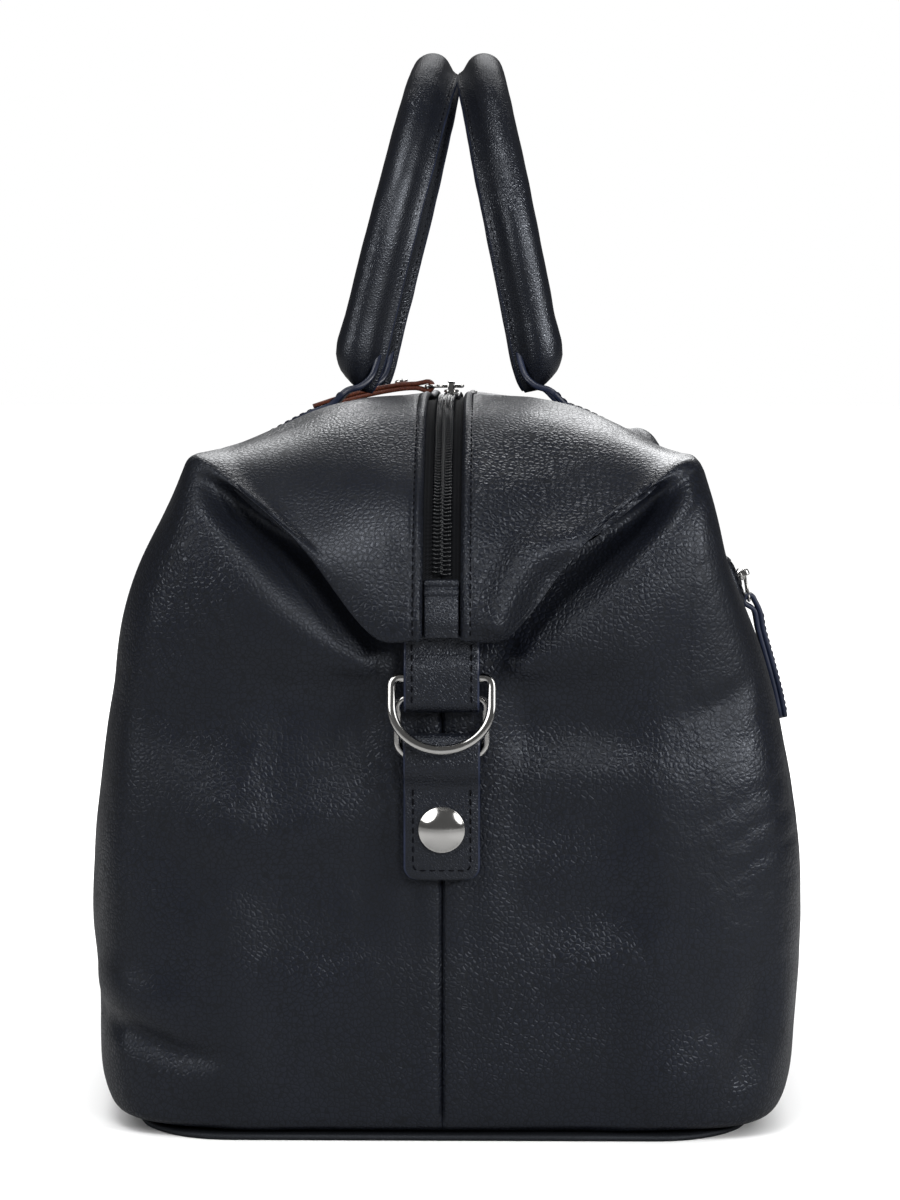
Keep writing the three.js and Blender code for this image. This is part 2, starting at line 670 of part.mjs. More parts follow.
// Zip pocket on the +X side: a band of tape, the chain on it, and the slider at the near end
function pocketZip() {
  const group = new THREE.Group();
  const quarter = [0.685, 0.79, 0.895, 1];
  const band = (halfWidth, offset) => {
    const near = quarter.map((around) => [-1, 1].map((side) => {
      const { point, normal } = surfaceAtHeight(around, pocketZipHeight + side * halfWidth);
      return point.addScaledVector(normal, offset);
    }));
    const far = near.slice(0, -1).reverse().map((column) => column.map((p) => vector([p.x, -p.y, p.z])));
    return [...near, ...far];
  };
  group.add(piece('pocket_tape', thickSheet(band(pocketTapeHalfWidth, 1.4), 0.9), tapeCloth));
  group.add(piece('pocket_chain', thickSheet(band(pocketChainHalfWidth, 3), 1.2), toothPlastic));
  const sliderAround = 0.72;
  const { point, normal } = surfaceAtHeight(sliderAround, pocketZipHeight);
  const along = axisY.clone().addScaledVector(normal, -normal.y).normalize();
  const down = along.clone().cross(normal);
  const placement = new THREE.Matrix4().makeBasis(down, along, normal);
  const foot = point.clone().addScaledVector(normal, 3 + clearance);
  const place = (geometry, at) => geometry.applyMatrix4(placement).translate(at.x, at.y, at.z);
  group.add(piece('pocket_slider', place(sliderGeometry(), foot), nickelMetal));
  const bail = foot.clone().addScaledVector(normal, linkLift);
  group.add(piece('pocket_link', place(linkGeometry().rotateZ(Math.PI), bail), nickelMetal));
  const bar = bail.clone().addScaledVector(down, linkReach);
  const line = [new THREE.Vector2(bar.x, bar.z)];
  for (const drop of [4, 12, 24, 37, pocketPullLength]) {
    const face = surfaceAtHeight(sliderAround, bar.z - drop).point;
    const stand = Math.max(2.2, 6.5 - drop * 0.3);
    line.push(new THREE.Vector2(face.x + stand, bar.z - drop));
  }
  const pull = piece('pocket_pull', pullGeometry(line), navyLeather);
  pull.position.y = bar.y;
  group.add(pull);
  return group;
}

// Each side is a wall, and a heel by which it turns under to the base
const bag = new THREE.Group();
const footLevel = levels.findIndex((level) => level.name === 'foot');
const wallStart = footLevel + 0.02;
const rowsBelow = levelValues.filter((level) => level < footLevel);
const rowsAbove = levelValues.filter((level) => level > wallStart);
const wallRows = [rowsBelow[rowsBelow.length - 1], wallStart, ...rowsAbove];
const heelRows = [...rowsBelow, footLevel, rowsAbove[0]];
const wall = thickSheet(panelColumns(wallRows), leather, 1, 0);
const heel = thickSheet(panelColumns(heelRows), leather, 0, 1);
for (const [part, geometry] of [['panel', wall], ['heel', heel]]) {
  const back = piece(`back_${part}`, geometry, navyLeather);
  back.rotation.z = Math.PI;
  bag.add(piece(`front_${part}`, geometry, navyLeather), back);
}
bag.add(piece('base_panel', basePanel(), baseLeather));

const tapeEnd = zipCapLength - 6;
const tape = (from, to) => zipBand(tapeEnd, zipLength - tapeEnd, zipTapeDepth, zipTapeThickness, from, to);
bag.add(piece('zip_tape_front', tape(clearance / 2, zipTapeHalfWidth), tapeCloth));
bag.add(piece('zip_tape_back', tape(-zipTapeHalfWidth, -clearance / 2), tapeCloth));
const chainEnd = zipCapLength + clearance;
const chain = zipBand(
  chainEnd, zipLength - chainEnd, zipChainDepth, zipChainThickness, -zipChainHalfWidth, zipChainHalfWidth);
bag.add(piece('zip_chain', chain, toothPlastic));

const farEnd = endHardware('far');
farEnd.rotation.z = Math.PI;
bag.add(endHardware('near'), farEnd);

bag.add(piece('handle_front', handleGeometry(frontHandleTopX), navyLeather));
const backHandle = piece('handle_back', handleGeometry(backHandleTopX), navyLeather);
backHandle.rotation.z = Math.PI;
bag.add(backHandle);

bag.add(mainPull('near', -sliderSpacing / 2), mainPull('far', sliderSpacing / 2));
bag.add(pocketZip());

export default bag;
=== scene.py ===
import json
import math
import bmesh
import bpy
import numpy as np
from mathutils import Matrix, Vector

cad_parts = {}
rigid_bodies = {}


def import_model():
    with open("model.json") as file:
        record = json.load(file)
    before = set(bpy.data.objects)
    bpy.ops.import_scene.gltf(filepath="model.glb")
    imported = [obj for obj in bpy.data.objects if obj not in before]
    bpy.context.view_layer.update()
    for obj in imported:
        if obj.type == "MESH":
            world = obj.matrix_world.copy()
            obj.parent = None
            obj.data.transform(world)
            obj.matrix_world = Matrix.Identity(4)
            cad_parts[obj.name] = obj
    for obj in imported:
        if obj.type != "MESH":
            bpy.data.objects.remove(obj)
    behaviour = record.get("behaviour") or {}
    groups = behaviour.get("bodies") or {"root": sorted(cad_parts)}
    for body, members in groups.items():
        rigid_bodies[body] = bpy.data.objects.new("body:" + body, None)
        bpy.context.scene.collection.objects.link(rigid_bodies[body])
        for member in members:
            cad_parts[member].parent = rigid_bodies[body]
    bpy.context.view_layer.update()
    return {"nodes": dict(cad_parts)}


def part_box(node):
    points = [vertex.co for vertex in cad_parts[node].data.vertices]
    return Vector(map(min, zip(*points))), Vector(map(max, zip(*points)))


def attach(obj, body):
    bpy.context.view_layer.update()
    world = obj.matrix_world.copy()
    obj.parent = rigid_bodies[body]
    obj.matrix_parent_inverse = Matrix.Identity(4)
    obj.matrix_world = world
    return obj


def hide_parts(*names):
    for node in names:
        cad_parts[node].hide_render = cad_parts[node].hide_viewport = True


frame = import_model()
print("frame loaded,", len(frame["nodes"]), "nodes")

# Soft leather travel bag, seen from its near end. Sizes are in millimetres until a mesh is made.
# X is across, with the pocket on +X, Y runs along the bag and Z is up from the floor.

# Node helpers

# Joins a socket to another node's output, or gives it a plain value
def feed(tree, socket, value):
    if hasattr(value, "is_output"):
        tree.links.new(value, socket)
    else:
        socket.default_value = value


def addNode(tree, kind, settings=None, **values):
    node = tree.nodes.new(kind)
    for key, value in (settings or {}).items():
        setattr(node, key, value)
    for label, value in values.items():
        feed(tree, node.inputs[label.replace("_", " ")], value)
    return node


def mathNode(tree, operation, *values, kind="ShaderNodeMath"):
    node = addNode(tree, kind, {"operation": operation})
    for socket, value in zip(node.inputs, values):
        feed(tree, socket, value)
    return node.outputs[0]


def ramp(tree, value, low, high, toLow=0.0, toHigh=1.0):
    node = addNode(tree, "ShaderNodeMapRange", {"interpolation_type": "SMOOTHSTEP"}, Value=value,
                   From_Min=low, From_Max=high, To_Min=toLow, To_Max=toHigh)
    return node.outputs["Result"]


def blendColours(tree, mask, first, second):
    node = addNode(tree, "ShaderNodeMix", {"data_type": "RGBA"}, Factor=mask)
    for socket, value in zip(node.inputs[6:8], (first, second)):     # the two colour sockets
        feed(tree, socket, value if hasattr(value, "is_output") else (*value, 1))
    return node.outputs[2]


def addBump(tree, shader, height, distance):
    bump = addNode(tree, "ShaderNodeBump", Height=height, Distance=distance, Strength=1.0)
    tree.links.new(bump.outputs["Normal"], shader.inputs["Normal"])


def newFinish(name, **constants):
    finish = bpy.data.materials.new(name)
    finish.use_nodes = True
    tree = finish.node_tree
    shader = tree.nodes["Principled BSDF"]
    for label, value in constants.items():
        shader.inputs[label.replace("_", " ")].default_value = value
    return finish, tree, shader


# Camera, floor and light

view = {
    "place": (0.020, -1.336, 0.287),
    "aim": (0.003, -0.236, 0.205),
    "lens": 89.3,
    "frameHeight": 36,                 # of the film, for that lens
    "farthest": 100,
}
studio = {
    "worldColour": (1.0, 1.0, 1.0),
    "roomLight": 0.085,
    "backdropLight": 1.0,
    "floorColour": (0.93, 0.93, 0.93),
    "floorBounce": (0.30, 0.30, 0.30),  # how pale the floor is to the bag itself, near it
    "floorFar": (0.15, 0.15, 0.15),     # and farther out
    "floorFade": (0.42, 0.85),
    "floorReach": 30.0,
    "floorRoughness": 0.9,
    "floorShine": 0.1,
    # place, aim, size and watts of each soft box
    "lamps": [
        ("frontLamp", (0.8, -2.0, 0.95), (0, -0.2, 0.18), 0.5, 10.5),
        ("topLamp", (-0.3, -1.1, 1.75), (0, -0.2, 0.22), 0.6, 11),
        ("keyLamp", (-1.55, -1.25, 0.85), (0, -0.1, 0.3), 0.3, 6.5),
        ("fillLamp", (1.5, -1.3, 0.85), (0, -0.1, 0.3), 0.3, 15),
        ("rearLamp", (0.1, 1.6, 1.5), (0, 0.1, 0.2), 1.3, 31),
    ],
    # wide soft boxes that the metal alone mirrors
    "metalLamps": [
        ("leftGlint", (-1.2, -0.75, 1.35), (0, -0.24, 0.15), 1.8, 20),
        ("rightGlint", (1.4, -0.4, 0.95), (0, -0.24, 0.15), 1.3, 9),
    ],
    # a soft sheen on the handles' tops
    "handleLamp": ("handleLamp", (0.1, 1.4, 1.7), (0, 0, 0.4), 1.3, 6.5),
    "skyStrength": 3.3,                # even soft light from above, for the floor alone
    "skySpread": 110,
    "skyHeight": 3,
}


def aimAt(obj, target):
    direction = Vector(target) - obj.location
    obj.rotation_euler = direction.to_track_quat("-Z", "Y").to_euler()


def addLamp(name, place, aim, size, watts):
    lampData = bpy.data.lights.new(name, "AREA")
    lampData.shape = "DISK"
    lampData.size = size
    lampData.energy = watts
    lamp = bpy.data.objects.new(name, lampData)
    lamp.location = place
    bpy.context.scene.collection.objects.link(lamp)
    aimAt(lamp, aim)
    return lamp


def buildCamera(scene):
    cameraData = bpy.data.cameras.new("camera")
    cameraData.sensor_fit = "VERTICAL"
    cameraData.sensor_height = view["frameHeight"]
    cameraData.lens = view["lens"]
    cameraData.clip_end = view["farthest"]
    camera = bpy.data.objects.new("camera", cameraData)
    camera.location = view["place"]
    scene.collection.objects.link(camera)
    aimAt(camera, view["aim"])
    scene.camera = camera


# White behind the bag, dim round the room
def buildWorld(scene):
    world = bpy.data.worlds.new("studioAir")
    world.use_nodes = True
    tree = world.node_tree
    air = tree.nodes["Background"]
    air.inputs["Color"].default_value = (*studio["worldColour"], 1)
    isLookedAt = addNode(tree, "ShaderNodeLightPath").outputs["Is Camera Ray"]
    level = addNode(tree, "ShaderNodeMapRange", Value=isLookedAt, To_Min=studio["roomLight"],
                    To_Max=studio["backdropLight"])
    tree.links.new(level.outputs["Result"], air.inputs["Strength"])
    scene.world = world


# White to the camera, and greyer to the bag the farther off it lies
def makeStudioPaper():
    paper, tree, shader = newFinish(
        "studioPaper", Roughness=studio["floorRoughness"], Specular_IOR_Level=studio["floorShine"])
    spot = addNode(tree, "ShaderNodeNewGeometry").outputs["Position"]
    away = addNode(tree, "ShaderNodeVectorMath", {"operation": "LENGTH"}, Vector=spot)
    low, high = studio["floorFade"]
    fade = addNode(tree, "ShaderNodeMapRange", Value=away.outputs["Value"], From_Min=low, From_Max=high)
    bounce = blendColours(tree, fade.outputs["Result"], studio["floorBounce"], studio["floorFar"])
    isLookedAt = addNode(tree, "ShaderNodeLightPath").outputs["Is Camera Ray"]
    colour = blendColours(tree, isLookedAt, bounce, studio["floorColour"])
    tree.links.new(colour, shader.inputs["Base Color"])
    return paper


def buildFloor(scene):
    reach = studio["floorReach"]
    mesh = bpy.data.meshes.new("floor")
    corners = [(-reach, -reach, 0), (reach, -reach, 0), (reach, reach, 0), (-reach, reach, 0)]
    mesh.from_pydata(corners, [], [(0, 1, 2, 3)])
    mesh.materials.append(makeStudioPaper())
    floor = bpy.data.objects.new("floor", mesh)
    scene.collection.objects.link(floor)
    return floor


def buildSky(scene):
    skyData = bpy.data.lights.new("skyLamp", "SUN")
    skyData.energy = studio["skyStrength"]
    skyData.angle = math.radians(studio["skySpread"])
    sky = bpy.data.objects.new("skyLamp", skyData)
    sky.location.z = studio["skyHeight"]
    scene.collection.objects.link(sky)
    return sky


def buildStudio():
    scene = bpy.context.scene
    buildCamera(scene)
    buildWorld(scene)
    scene.view_settings.view_transform = "Standard"
    for lamp in studio["lamps"]:
        addLamp(*lamp)
    sky = buildSky(scene)
    lit = bpy.data.collections.new("litBySky")
    lit.objects.link(buildFloor(scene))
    sky.light_linking.receiver_collection = lit


buildStudio()
print("studio ready")


# Node groups that several finishes share

def newGroup(name, inputs, outputs):
    tree = bpy.data.node_groups.new(name, "ShaderNodeTree")
    for label, value in inputs.items():
        socket = tree.interface.new_socket(label, in_out="INPUT", socket_type="NodeSocketFloat")
        socket.default_value = value
    for label in outputs:
        tree.interface.new_socket(label, in_out="OUTPUT", socket_type="NodeSocketFloat")
    return tree, tree.nodes.new("NodeGroupInput"), tree.nodes.new("NodeGroupOutput")


def placeGroup(tree, group, **values):
    node = addNode(tree, "ShaderNodeGroup", {"node_tree": group})
    for label, value in values.items():
        node.inputs[label].default_value = value
    return node


grainLook = {
    "swirl": 0.3, "swirlDetail": 2.0,  # bends the pebbles at this share of their scale
    "scatter": 0.9,
    "dome": (0.0, 0.34), "domeHeight": 0.7,
    "crease": (0.02, 0.14),
    "pores": 3.0, "poreDetail": 3.0, "poreHeight": 0.2,
    "patches": 22.0, "patchDetail": 5.0, "patchRoughness": 0.6, "mottle": (0.32, 0.68),
    "areas": 13.0, "areaDetail": 2.0, "areaRoughness": 0.5,
    "areaReach": (0.36, 0.66), "areaStrength": (0.3, 1.0),
}


# Rounded pebbles parted by fine creases, as on tumbled leather
def makePebbleGrain():
    look = grainLook
    noise, vectors = "ShaderNodeTexNoise", "ShaderNodeVectorMath"
    tree, entry, leave = newGroup(
        "pebbleGrain", {"Cells": 800.0, "Warp": 0.0005}, ["Height", "CreaseShade", "Mottle"])
    scale = entry.outputs["Cells"]
    place = addNode(tree, "ShaderNodeTexCoord").outputs["Object"]
    swirl = addNode(tree, noise, Vector=place, Scale=mathNode(tree, "MULTIPLY", scale, look["swirl"]),
                    Detail=look["swirlDetail"])
    shift = mathNode(tree, "SUBTRACT", swirl.outputs["Color"], (0.5, 0.5, 0.5), kind=vectors)
    bend = addNode(tree, vectors, {"operation": "SCALE"}, Vector=shift, Scale=entry.outputs["Warp"])
    warped = mathNode(tree, "ADD", place, bend.outputs[0], kind=vectors)
    cells = addNode(tree, "ShaderNodeTexVoronoi", {"feature": "DISTANCE_TO_EDGE"}, Vector=warped, Scale=scale,
                    Randomness=look["scatter"])
    dome = ramp(tree, cells.outputs["Distance"], *look["dome"])
    # a mask of the grain's creases, which the leathers paint darker as shade and make duller
    crease = ramp(tree, cells.outputs["Distance"], *look["crease"], 1.0, 0.0)
    pores = addNode(tree, noise, Vector=place, Scale=mathNode(tree, "MULTIPLY", scale, look["pores"]),
                    Detail=look["poreDetail"])
    fine = mathNode(tree, "MULTIPLY", pores.outputs["Fac"], look["poreHeight"])
    height = mathNode(tree, "ADD", mathNode(tree, "MULTIPLY", dome, look["domeHeight"]), fine)
    patches = addNode(tree, noise, Vector=place, Scale=look["patches"], Detail=look["patchDetail"],
                      Roughness=look["patchRoughness"])
    areas = addNode(tree, noise, Vector=place, Scale=look["areas"], Detail=look["areaDetail"],
                    Roughness=look["areaRoughness"])
    strength = ramp(tree, areas.outputs["Fac"], *look["areaReach"], *look["areaStrength"])
    tree.links.new(mathNode(tree, "MULTIPLY", height, strength), leave.inputs["Height"])
    tree.links.new(crease, leave.inputs["CreaseShade"])
    tree.links.new(ramp(tree, patches.outputs["Fac"], *look["mottle"]), leave.inputs["Mottle"])
    return tree


# Over-and-under threads of a tape, laid by the mesh's own "lay" values: along, then across
weaveLook = {"acrossShare": 0.5, "heightReach": (-1.0, 1.0), "threadReach": (-0.3, 0.9)}


def makeTapeWeave():
    tree, entry, leave = newGroup("tapeWeave", {"Pitch": 0.7}, ["Height", "Thread"])
    lay = addNode(tree, "ShaderNodeAttribute", {"attribute_name": "lay"}).outputs["Vector"]
    parts = addNode(tree, "ShaderNodeSeparateXYZ", Vector=lay)
    turn = mathNode(tree, "DIVIDE", 2 * math.pi, entry.outputs["Pitch"])
    along = mathNode(tree, "SINE", mathNode(tree, "MULTIPLY", parts.outputs["X"], turn))
    acrossTurn = mathNode(tree, "MULTIPLY", turn, weaveLook["acrossShare"])
    across = mathNode(tree, "SINE", mathNode(tree, "MULTIPLY", parts.outputs["Y"], acrossTurn))
    cross = mathNode(tree, "MULTIPLY", along, across)
    tree.links.new(ramp(tree, cross, *weaveLook["heightReach"]), leave.inputs["Height"])
    tree.links.new(ramp(tree, across, *weaveLook["threadReach"]), leave.inputs["Thread"])
    return tree


# Faint clouds of handling and hairline rubs, for metal, thread, nylon and painted edges
rubLook = {
    "cloudDetail": 4.0, "cloudReach": (0.35, 0.7),
    "hairDetail": 2.0, "hairStretch": (1.0, 0.12, 0.4), "hairReach": (0.3, 0.75),
}


def makeRubMarks():
    look = rubLook
    tree, entry, leave = newGroup("rubMarks", {"Cloud": 60.0, "Hair": 900.0}, ["Cloud", "Hair"])
    place = addNode(tree, "ShaderNodeTexCoord").outputs["Object"]
    cloud = addNode(tree, "ShaderNodeTexNoise", Vector=place, Scale=entry.outputs["Cloud"],
                    Detail=look["cloudDetail"])
    stretched = mathNode(tree, "MULTIPLY", place, look["hairStretch"], kind="ShaderNodeVectorMath")
    hair = addNode(tree, "ShaderNodeTexNoise", Vector=stretched, Scale=entry.outputs["Hair"],
                   Detail=look["hairDetail"])
    tree.links.new(ramp(tree, cloud.outputs["Fac"], *look["cloudReach"]), leave.inputs["Cloud"])
    tree.links.new(ramp(tree, hair.outputs["Fac"], *look["hairReach"]), leave.inputs["Hair"])
    return tree


pebbleGrain = makePebbleGrain()
tapeWeave = makeTapeWeave()
rubMarks = makeRubMarks()


# Finishes

# The crease colour of each leather is painted shade, laid into the grain's creases
leathers = {
    "navy": {
        "dark": (0.0070, 0.0085, 0.0135), "light": (0.0105, 0.0125, 0.0200),
        "crease": (0.0036, 0.0042, 0.0064), "cells": 520.0, "warp": 0.0012,
        "relief": 0.00024, "gloss": (0.33, 0.44), "shine": 0.5,
    },
    "smoothNavy": {
        "dark": (0.0055, 0.0068, 0.0115), "light": (0.0085, 0.0105, 0.0175),
        "crease": (0.003, 0.0035, 0.0055), "cells": 820.0, "warp": 0.0007,
        "relief": 0.00020, "gloss": (0.34, 0.44), "shine": 0.65,
    },
    "handleNavy": {
        "dark": (0.0050, 0.0062, 0.0110), "light": (0.0078, 0.0098, 0.0170),
        "crease": (0.003, 0.0035, 0.0055), "cells": 900.0, "warp": 0.0007,
        "relief": 0.00013, "gloss": (0.26, 0.34), "shine": 0.85,
    },
    "base": {
        "dark": (0.0085, 0.0095, 0.0125), "light": (0.0120, 0.0135, 0.0170),
        "crease": (0.005, 0.006, 0.008), "cells": 820.0, "warp": 0.0007,
        "relief": 0.00014, "gloss": (0.52, 0.62), "shine": 0.5,
    },
    "brown": {
        "dark": (0.130, 0.030, 0.012), "light": (0.200, 0.052, 0.021),
        "crease": (0.070, 0.016, 0.007), "cells": 1100.0, "warp": 0.0005,
        "relief": 0.00008, "gloss": (0.42, 0.55), "shine": 0.5,
    },
}


leatherWear = {
    "bend": 1.45, "sheenTint": (0.86, 0.91, 1.0, 1),
    "creaseDullness": 0.12,
    # fine lines where the leather is slack
    "lines": 120.0, "lineDetail": 4.0, "lineRoughness": 0.6, "lineDistortion": 0.5, "lineDepth": 3.0,
}


def makeLeather(name, look):
    wear = leatherWear
    finish, tree, shader = newFinish(name, IOR=wear["bend"], Specular_IOR_Level=look["shine"],
                                     Specular_Tint=wear["sheenTint"])
    grain = placeGroup(tree, pebbleGrain, Cells=look["cells"], Warp=look["warp"])
    body = blendColours(tree, grain.outputs["Mottle"], look["dark"], look["light"])
    # the grain's creases are painted darker here, as shade
    colour = blendColours(tree, grain.outputs["CreaseShade"], body, look["crease"])
    tree.links.new(colour, shader.inputs["Base Color"])
    low, high = look["gloss"]
    rough = ramp(tree, grain.outputs["Mottle"], 0.0, 1.0, high, low)
    dull = mathNode(tree, "MULTIPLY", grain.outputs["CreaseShade"], wear["creaseDullness"])
    tree.links.new(mathNode(tree, "ADD", rough, dull), shader.inputs["Roughness"])
    slack = addNode(tree, "ShaderNodeAttribute", {"attribute_name": "slack"}).outputs["Fac"]
    place = addNode(tree, "ShaderNodeTexCoord").outputs["Object"]
    lines = addNode(tree, "ShaderNodeTexNoise", Vector=place, Scale=wear["lines"], Detail=wear["lineDetail"],
                    Roughness=wear["lineRoughness"], Distortion=wear["lineDistortion"])
    folds = mathNode(tree, "MULTIPLY", lines.outputs["Fac"], slack)
    folds = mathNode(tree, "MULTIPLY", folds, wear["lineDepth"])
    addBump(tree, shader, mathNode(tree, "ADD", grain.outputs["Height"], folds), look["relief"])
    return finish


navyLeather = makeLeather("navyLeather", leathers["navy"])
smoothNavyLeather = makeLeather("smoothNavyLeather", leathers["smoothNavy"])
handleLeather = makeLeather("handleLeather", leathers["handleNavy"])
baseLeather = makeLeather("baseLeather", leathers["base"])
brownLeather = makeLeather("brownLeather", leathers["brown"])


rubbedLooks = {
    "nickel": {
        "dark": (0.72, 0.71, 0.69), "light": (0.80, 0.79, 0.77), "gloss": (0.10, 0.20), "metal": 1.0,
        "shine": 0.5, "cloud": 60.0, "hair": 900.0, "relief": 0.000002,
    },
    "edgePaint": {
        "dark": (0.009, 0.014, 0.034), "light": (0.015, 0.023, 0.056), "gloss": (0.34, 0.46), "metal": 0.0,
        "shine": 0.5, "cloud": 60.0, "hair": 500.0, "relief": 0.00003,
    },
    "navyThread": {
        "dark": (0.0016, 0.0018, 0.003), "light": (0.004, 0.0046, 0.008), "gloss": (0.6, 0.75), "metal": 0.0,
        "shine": 0.1, "cloud": 60.0, "hair": 2600.0, "relief": 0.00006,
    },
    "coilNylon": {
        "dark": (0.004, 0.0045, 0.006), "light": (0.007, 0.008, 0.010), "gloss": (0.18, 0.26), "metal": 0.0,
        "shine": 0.5, "cloud": 60.0, "hair": 900.0, "relief": 0.00001,
    },
}


def makeRubbed(name):
    look = rubbedLooks[name]
    finish, tree, shader = newFinish(name, Metallic=look["metal"], Specular_IOR_Level=look["shine"])
    rub = placeGroup(tree, rubMarks, Cloud=look["cloud"], Hair=look["hair"])
    colour = blendColours(tree, rub.outputs["Cloud"], look["dark"], look["light"])
    tree.links.new(colour, shader.inputs["Base Color"])
    rough = ramp(tree, rub.outputs["Cloud"], 0.0, 1.0, *look["gloss"])
    tree.links.new(rough, shader.inputs["Roughness"])
    addBump(tree, shader, rub.outputs["Hair"], look["relief"])
    return finish


nickel = makeRubbed("nickel")
edgePaint = makeRubbed("edgePaint")
navyThread = makeRubbed("navyThread")
coilNylon = makeRubbed("coilNylon")


tapeClothLook = {
    "dark": (0.0045, 0.005, 0.0065), "light": (0.0095, 0.0105, 0.013), "gloss": (0.92, 0.78),
    "shine": 0.2, "pitch": 0.7, "relief": 0.00018,
}


def makeTapeCloth():
    look = tapeClothLook
    finish, tree, shader = newFinish("tapeCloth", Specular_IOR_Level=look["shine"])
    weave = placeGroup(tree, tapeWeave, Pitch=look["pitch"])
    colour = blendColours(tree, weave.outputs["Thread"], look["dark"], look["light"])
    tree.links.new(colour, shader.inputs["Base Color"])
    rough = ramp(tree, weave.outputs["Height"], 0.0, 1.0, *look["gloss"])
    tree.links.new(rough, shader.inputs["Roughness"])
    addBump(tree, shader, weave.outputs["Height"], look["relief"])
    return finish


tapeCloth = makeTapeCloth()
print("finishes ready")


# Mesh helpers

def addPiece(name, points, faces, finishes, body="bag", replaces=(), faceFinish=None, sharp=None,
             lay=None, slack=None):
    mesh = bpy.data.meshes.new(name)
    mesh.from_pydata((np.asarray(points) / 1000).tolist(), [], faces)
    for finish in finishes if isinstance(finishes, (list, tuple)) else [finishes]:
        mesh.materials.append(finish)
    if faceFinish is not None:
        mesh.polygons.foreach_set("material_index", np.asarray(faceFinish, dtype=np.int32))
    if lay is not None:
        values = mesh.attributes.new("lay", "FLOAT_VECTOR", "POINT")
        values.data.foreach_set("vector", np.asarray(lay, dtype=np.float32).ravel())
    if slack is not None:
        values = mesh.attributes.new("slack", "FLOAT", "POINT")
        values.data.foreach_set("value", np.asarray(slack, dtype=np.float32))
    bm = bmesh.new()
    bm.from_mesh(mesh)
    bmesh.ops.recalc_face_normals(bm, faces=bm.faces)
    bm.to_mesh(mesh)
    bm.free()
    mesh.shade_smooth()
    if sharp is not None:
        mesh.set_sharp_from_angle(angle=math.radians(sharp))
    piece = bpy.data.objects.new(name, mesh)
    bpy.context.scene.collection.objects.link(piece)
    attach(piece, body)
    if replaces:
        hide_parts(*replaces)
    return piece


# Faces of a grid of columns by rows, numbered column by column from a first point
def gridFaces(columns, rows, first=0, isLoop=False, isTube=False):
    i = np.arange(columns if isLoop else columns - 1)
    j = np.arange(rows if isTube else rows - 1)
    i, j = (values.ravel() for values in np.meshgrid(i, j, indexing="ij"))
    iNext = (i + 1) % columns
    jNext = (j + 1) % rows
    quads = np.stack([i * rows + j, iNext * rows + j, iNext * rows + jNext, i * rows + jNext], axis=1)
    return (quads + first).tolist()


def unit(vectors):
    length = np.linalg.norm(vectors, axis=-1, keepdims=True)
    return vectors / np.maximum(length, 1e-9)


def gridNormals(grid):
    along = np.gradient(grid, axis=0)
    up = np.gradient(grid, axis=1)
    return unit(np.cross(along, up))


# How far along a run of points each of them lies
def runLengths(points):
    return np.concatenate([[0], np.cumsum(np.linalg.norm(np.diff(points, axis=0), axis=1))])


# Values of a table's columns at stops between the places of its rows
def between(stops, places, table):
    return np.stack([np.interp(stops, places, table[:, k]) for k in range(table.shape[1])], axis=-1)


# Runs through points at even steps
def evenRun(points, step):
    points = np.asarray(points, dtype=float)
    lengths = runLengths(points)
    count = max(int(round(lengths[-1] / step)) + 1, 2)
    return between(np.linspace(0, lengths[-1], count), lengths, points)


def tangents(points, isLoop=False):
    if isLoop:
        return unit(np.roll(points, -1, axis=0) - np.roll(points, 1, axis=0))
    return unit(np.gradient(points, axis=0))


# Knots of a smooth curve through points, and both carried on past the ends for the slopes there
def curveKnots(points):
    knots = np.concatenate([[0], np.cumsum(np.sqrt(np.linalg.norm(np.diff(points, axis=0), axis=1)))])
    allKnots = np.concatenate([[-knots[1]], knots, [2 * knots[-1] - knots[-2]]])
    allPoints = np.vstack([2 * points[0] - points[1], points, 2 * points[-1] - points[-2]])
    return knots, allKnots, allPoints


# A smooth curve through a few points, at even steps
def smoothRun(points, step):
    points = np.asarray(points, dtype=float)
    knots, allKnots, allPoints = curveKnots(points)
    fine = hermite(allKnots, allPoints, np.linspace(0, knots[-1], 40 * len(points)))
    return evenRun(fine, step)


# Cubic curve through points at given knots, with slopes taken from the neighbours
def hermite(knots, points, at):
    knots = np.asarray(knots, dtype=float)
    points = np.asarray(points, dtype=float)
    at = np.atleast_1d(at)
    i = np.clip(np.searchsorted(knots, at, side="left") - 1, 1, len(knots) - 3)
    span = (knots[i + 1] - knots[i])[:, None]
    t = (at - knots[i])[:, None] / span

    def slope(k):
        return (points[k + 1] - points[k - 1]) / (knots[k + 1] - knots[k - 1])[:, None] * span
    return ((2 * t**3 - 3 * t**2 + 1) * points[i] + (t**3 - 2 * t**2 + t) * slope(i)
            + (3 * t**2 - 2 * t**3) * points[i + 1] + (t**3 - t**2) * slope(i + 1))


# Faces of a tube of rings of points along a path, closed at both ends or in a loop
def tubeFaces(count, sides, isLoop=False, first=0):
    faces = gridFaces(count, sides, first, isLoop, True)
    if not isLoop:
        faces.append([first + k for k in range(sides)])
        faces.append([first + (count - 1) * sides + k for k in reversed(range(sides))])
    return faces


# Faces of many like tubes, one after another
def manyTubes(howMany, count, sides):
    faces = []
    for k in range(howMany):
        faces += tubeFaces(count, sides, False, k * count * sides)
    return faces


def circleAngles(sides):
    return np.arange(sides) * 2 * math.pi / sides


# A round wire bent along a closed path
def wirePoints(path, radius, sides, upward):
    path = np.asarray(path, dtype=float)
    run = tangents(path, True)
    across = unit(np.cross(run, np.broadcast_to(upward, path.shape)))
    lift = np.cross(across, run)
    angles = circleAngles(sides)
    ring = across[:, None] * np.cos(angles)[None, :, None] + lift[:, None] * np.sin(angles)[None, :, None]
    return (path[:, None] + radius * ring).reshape(-1, 3)


def unmoved(points):
    return np.asarray(points)


def turnedHalf(points):
    return np.asarray(points) * np.array([-1.0, -1.0, 1.0])


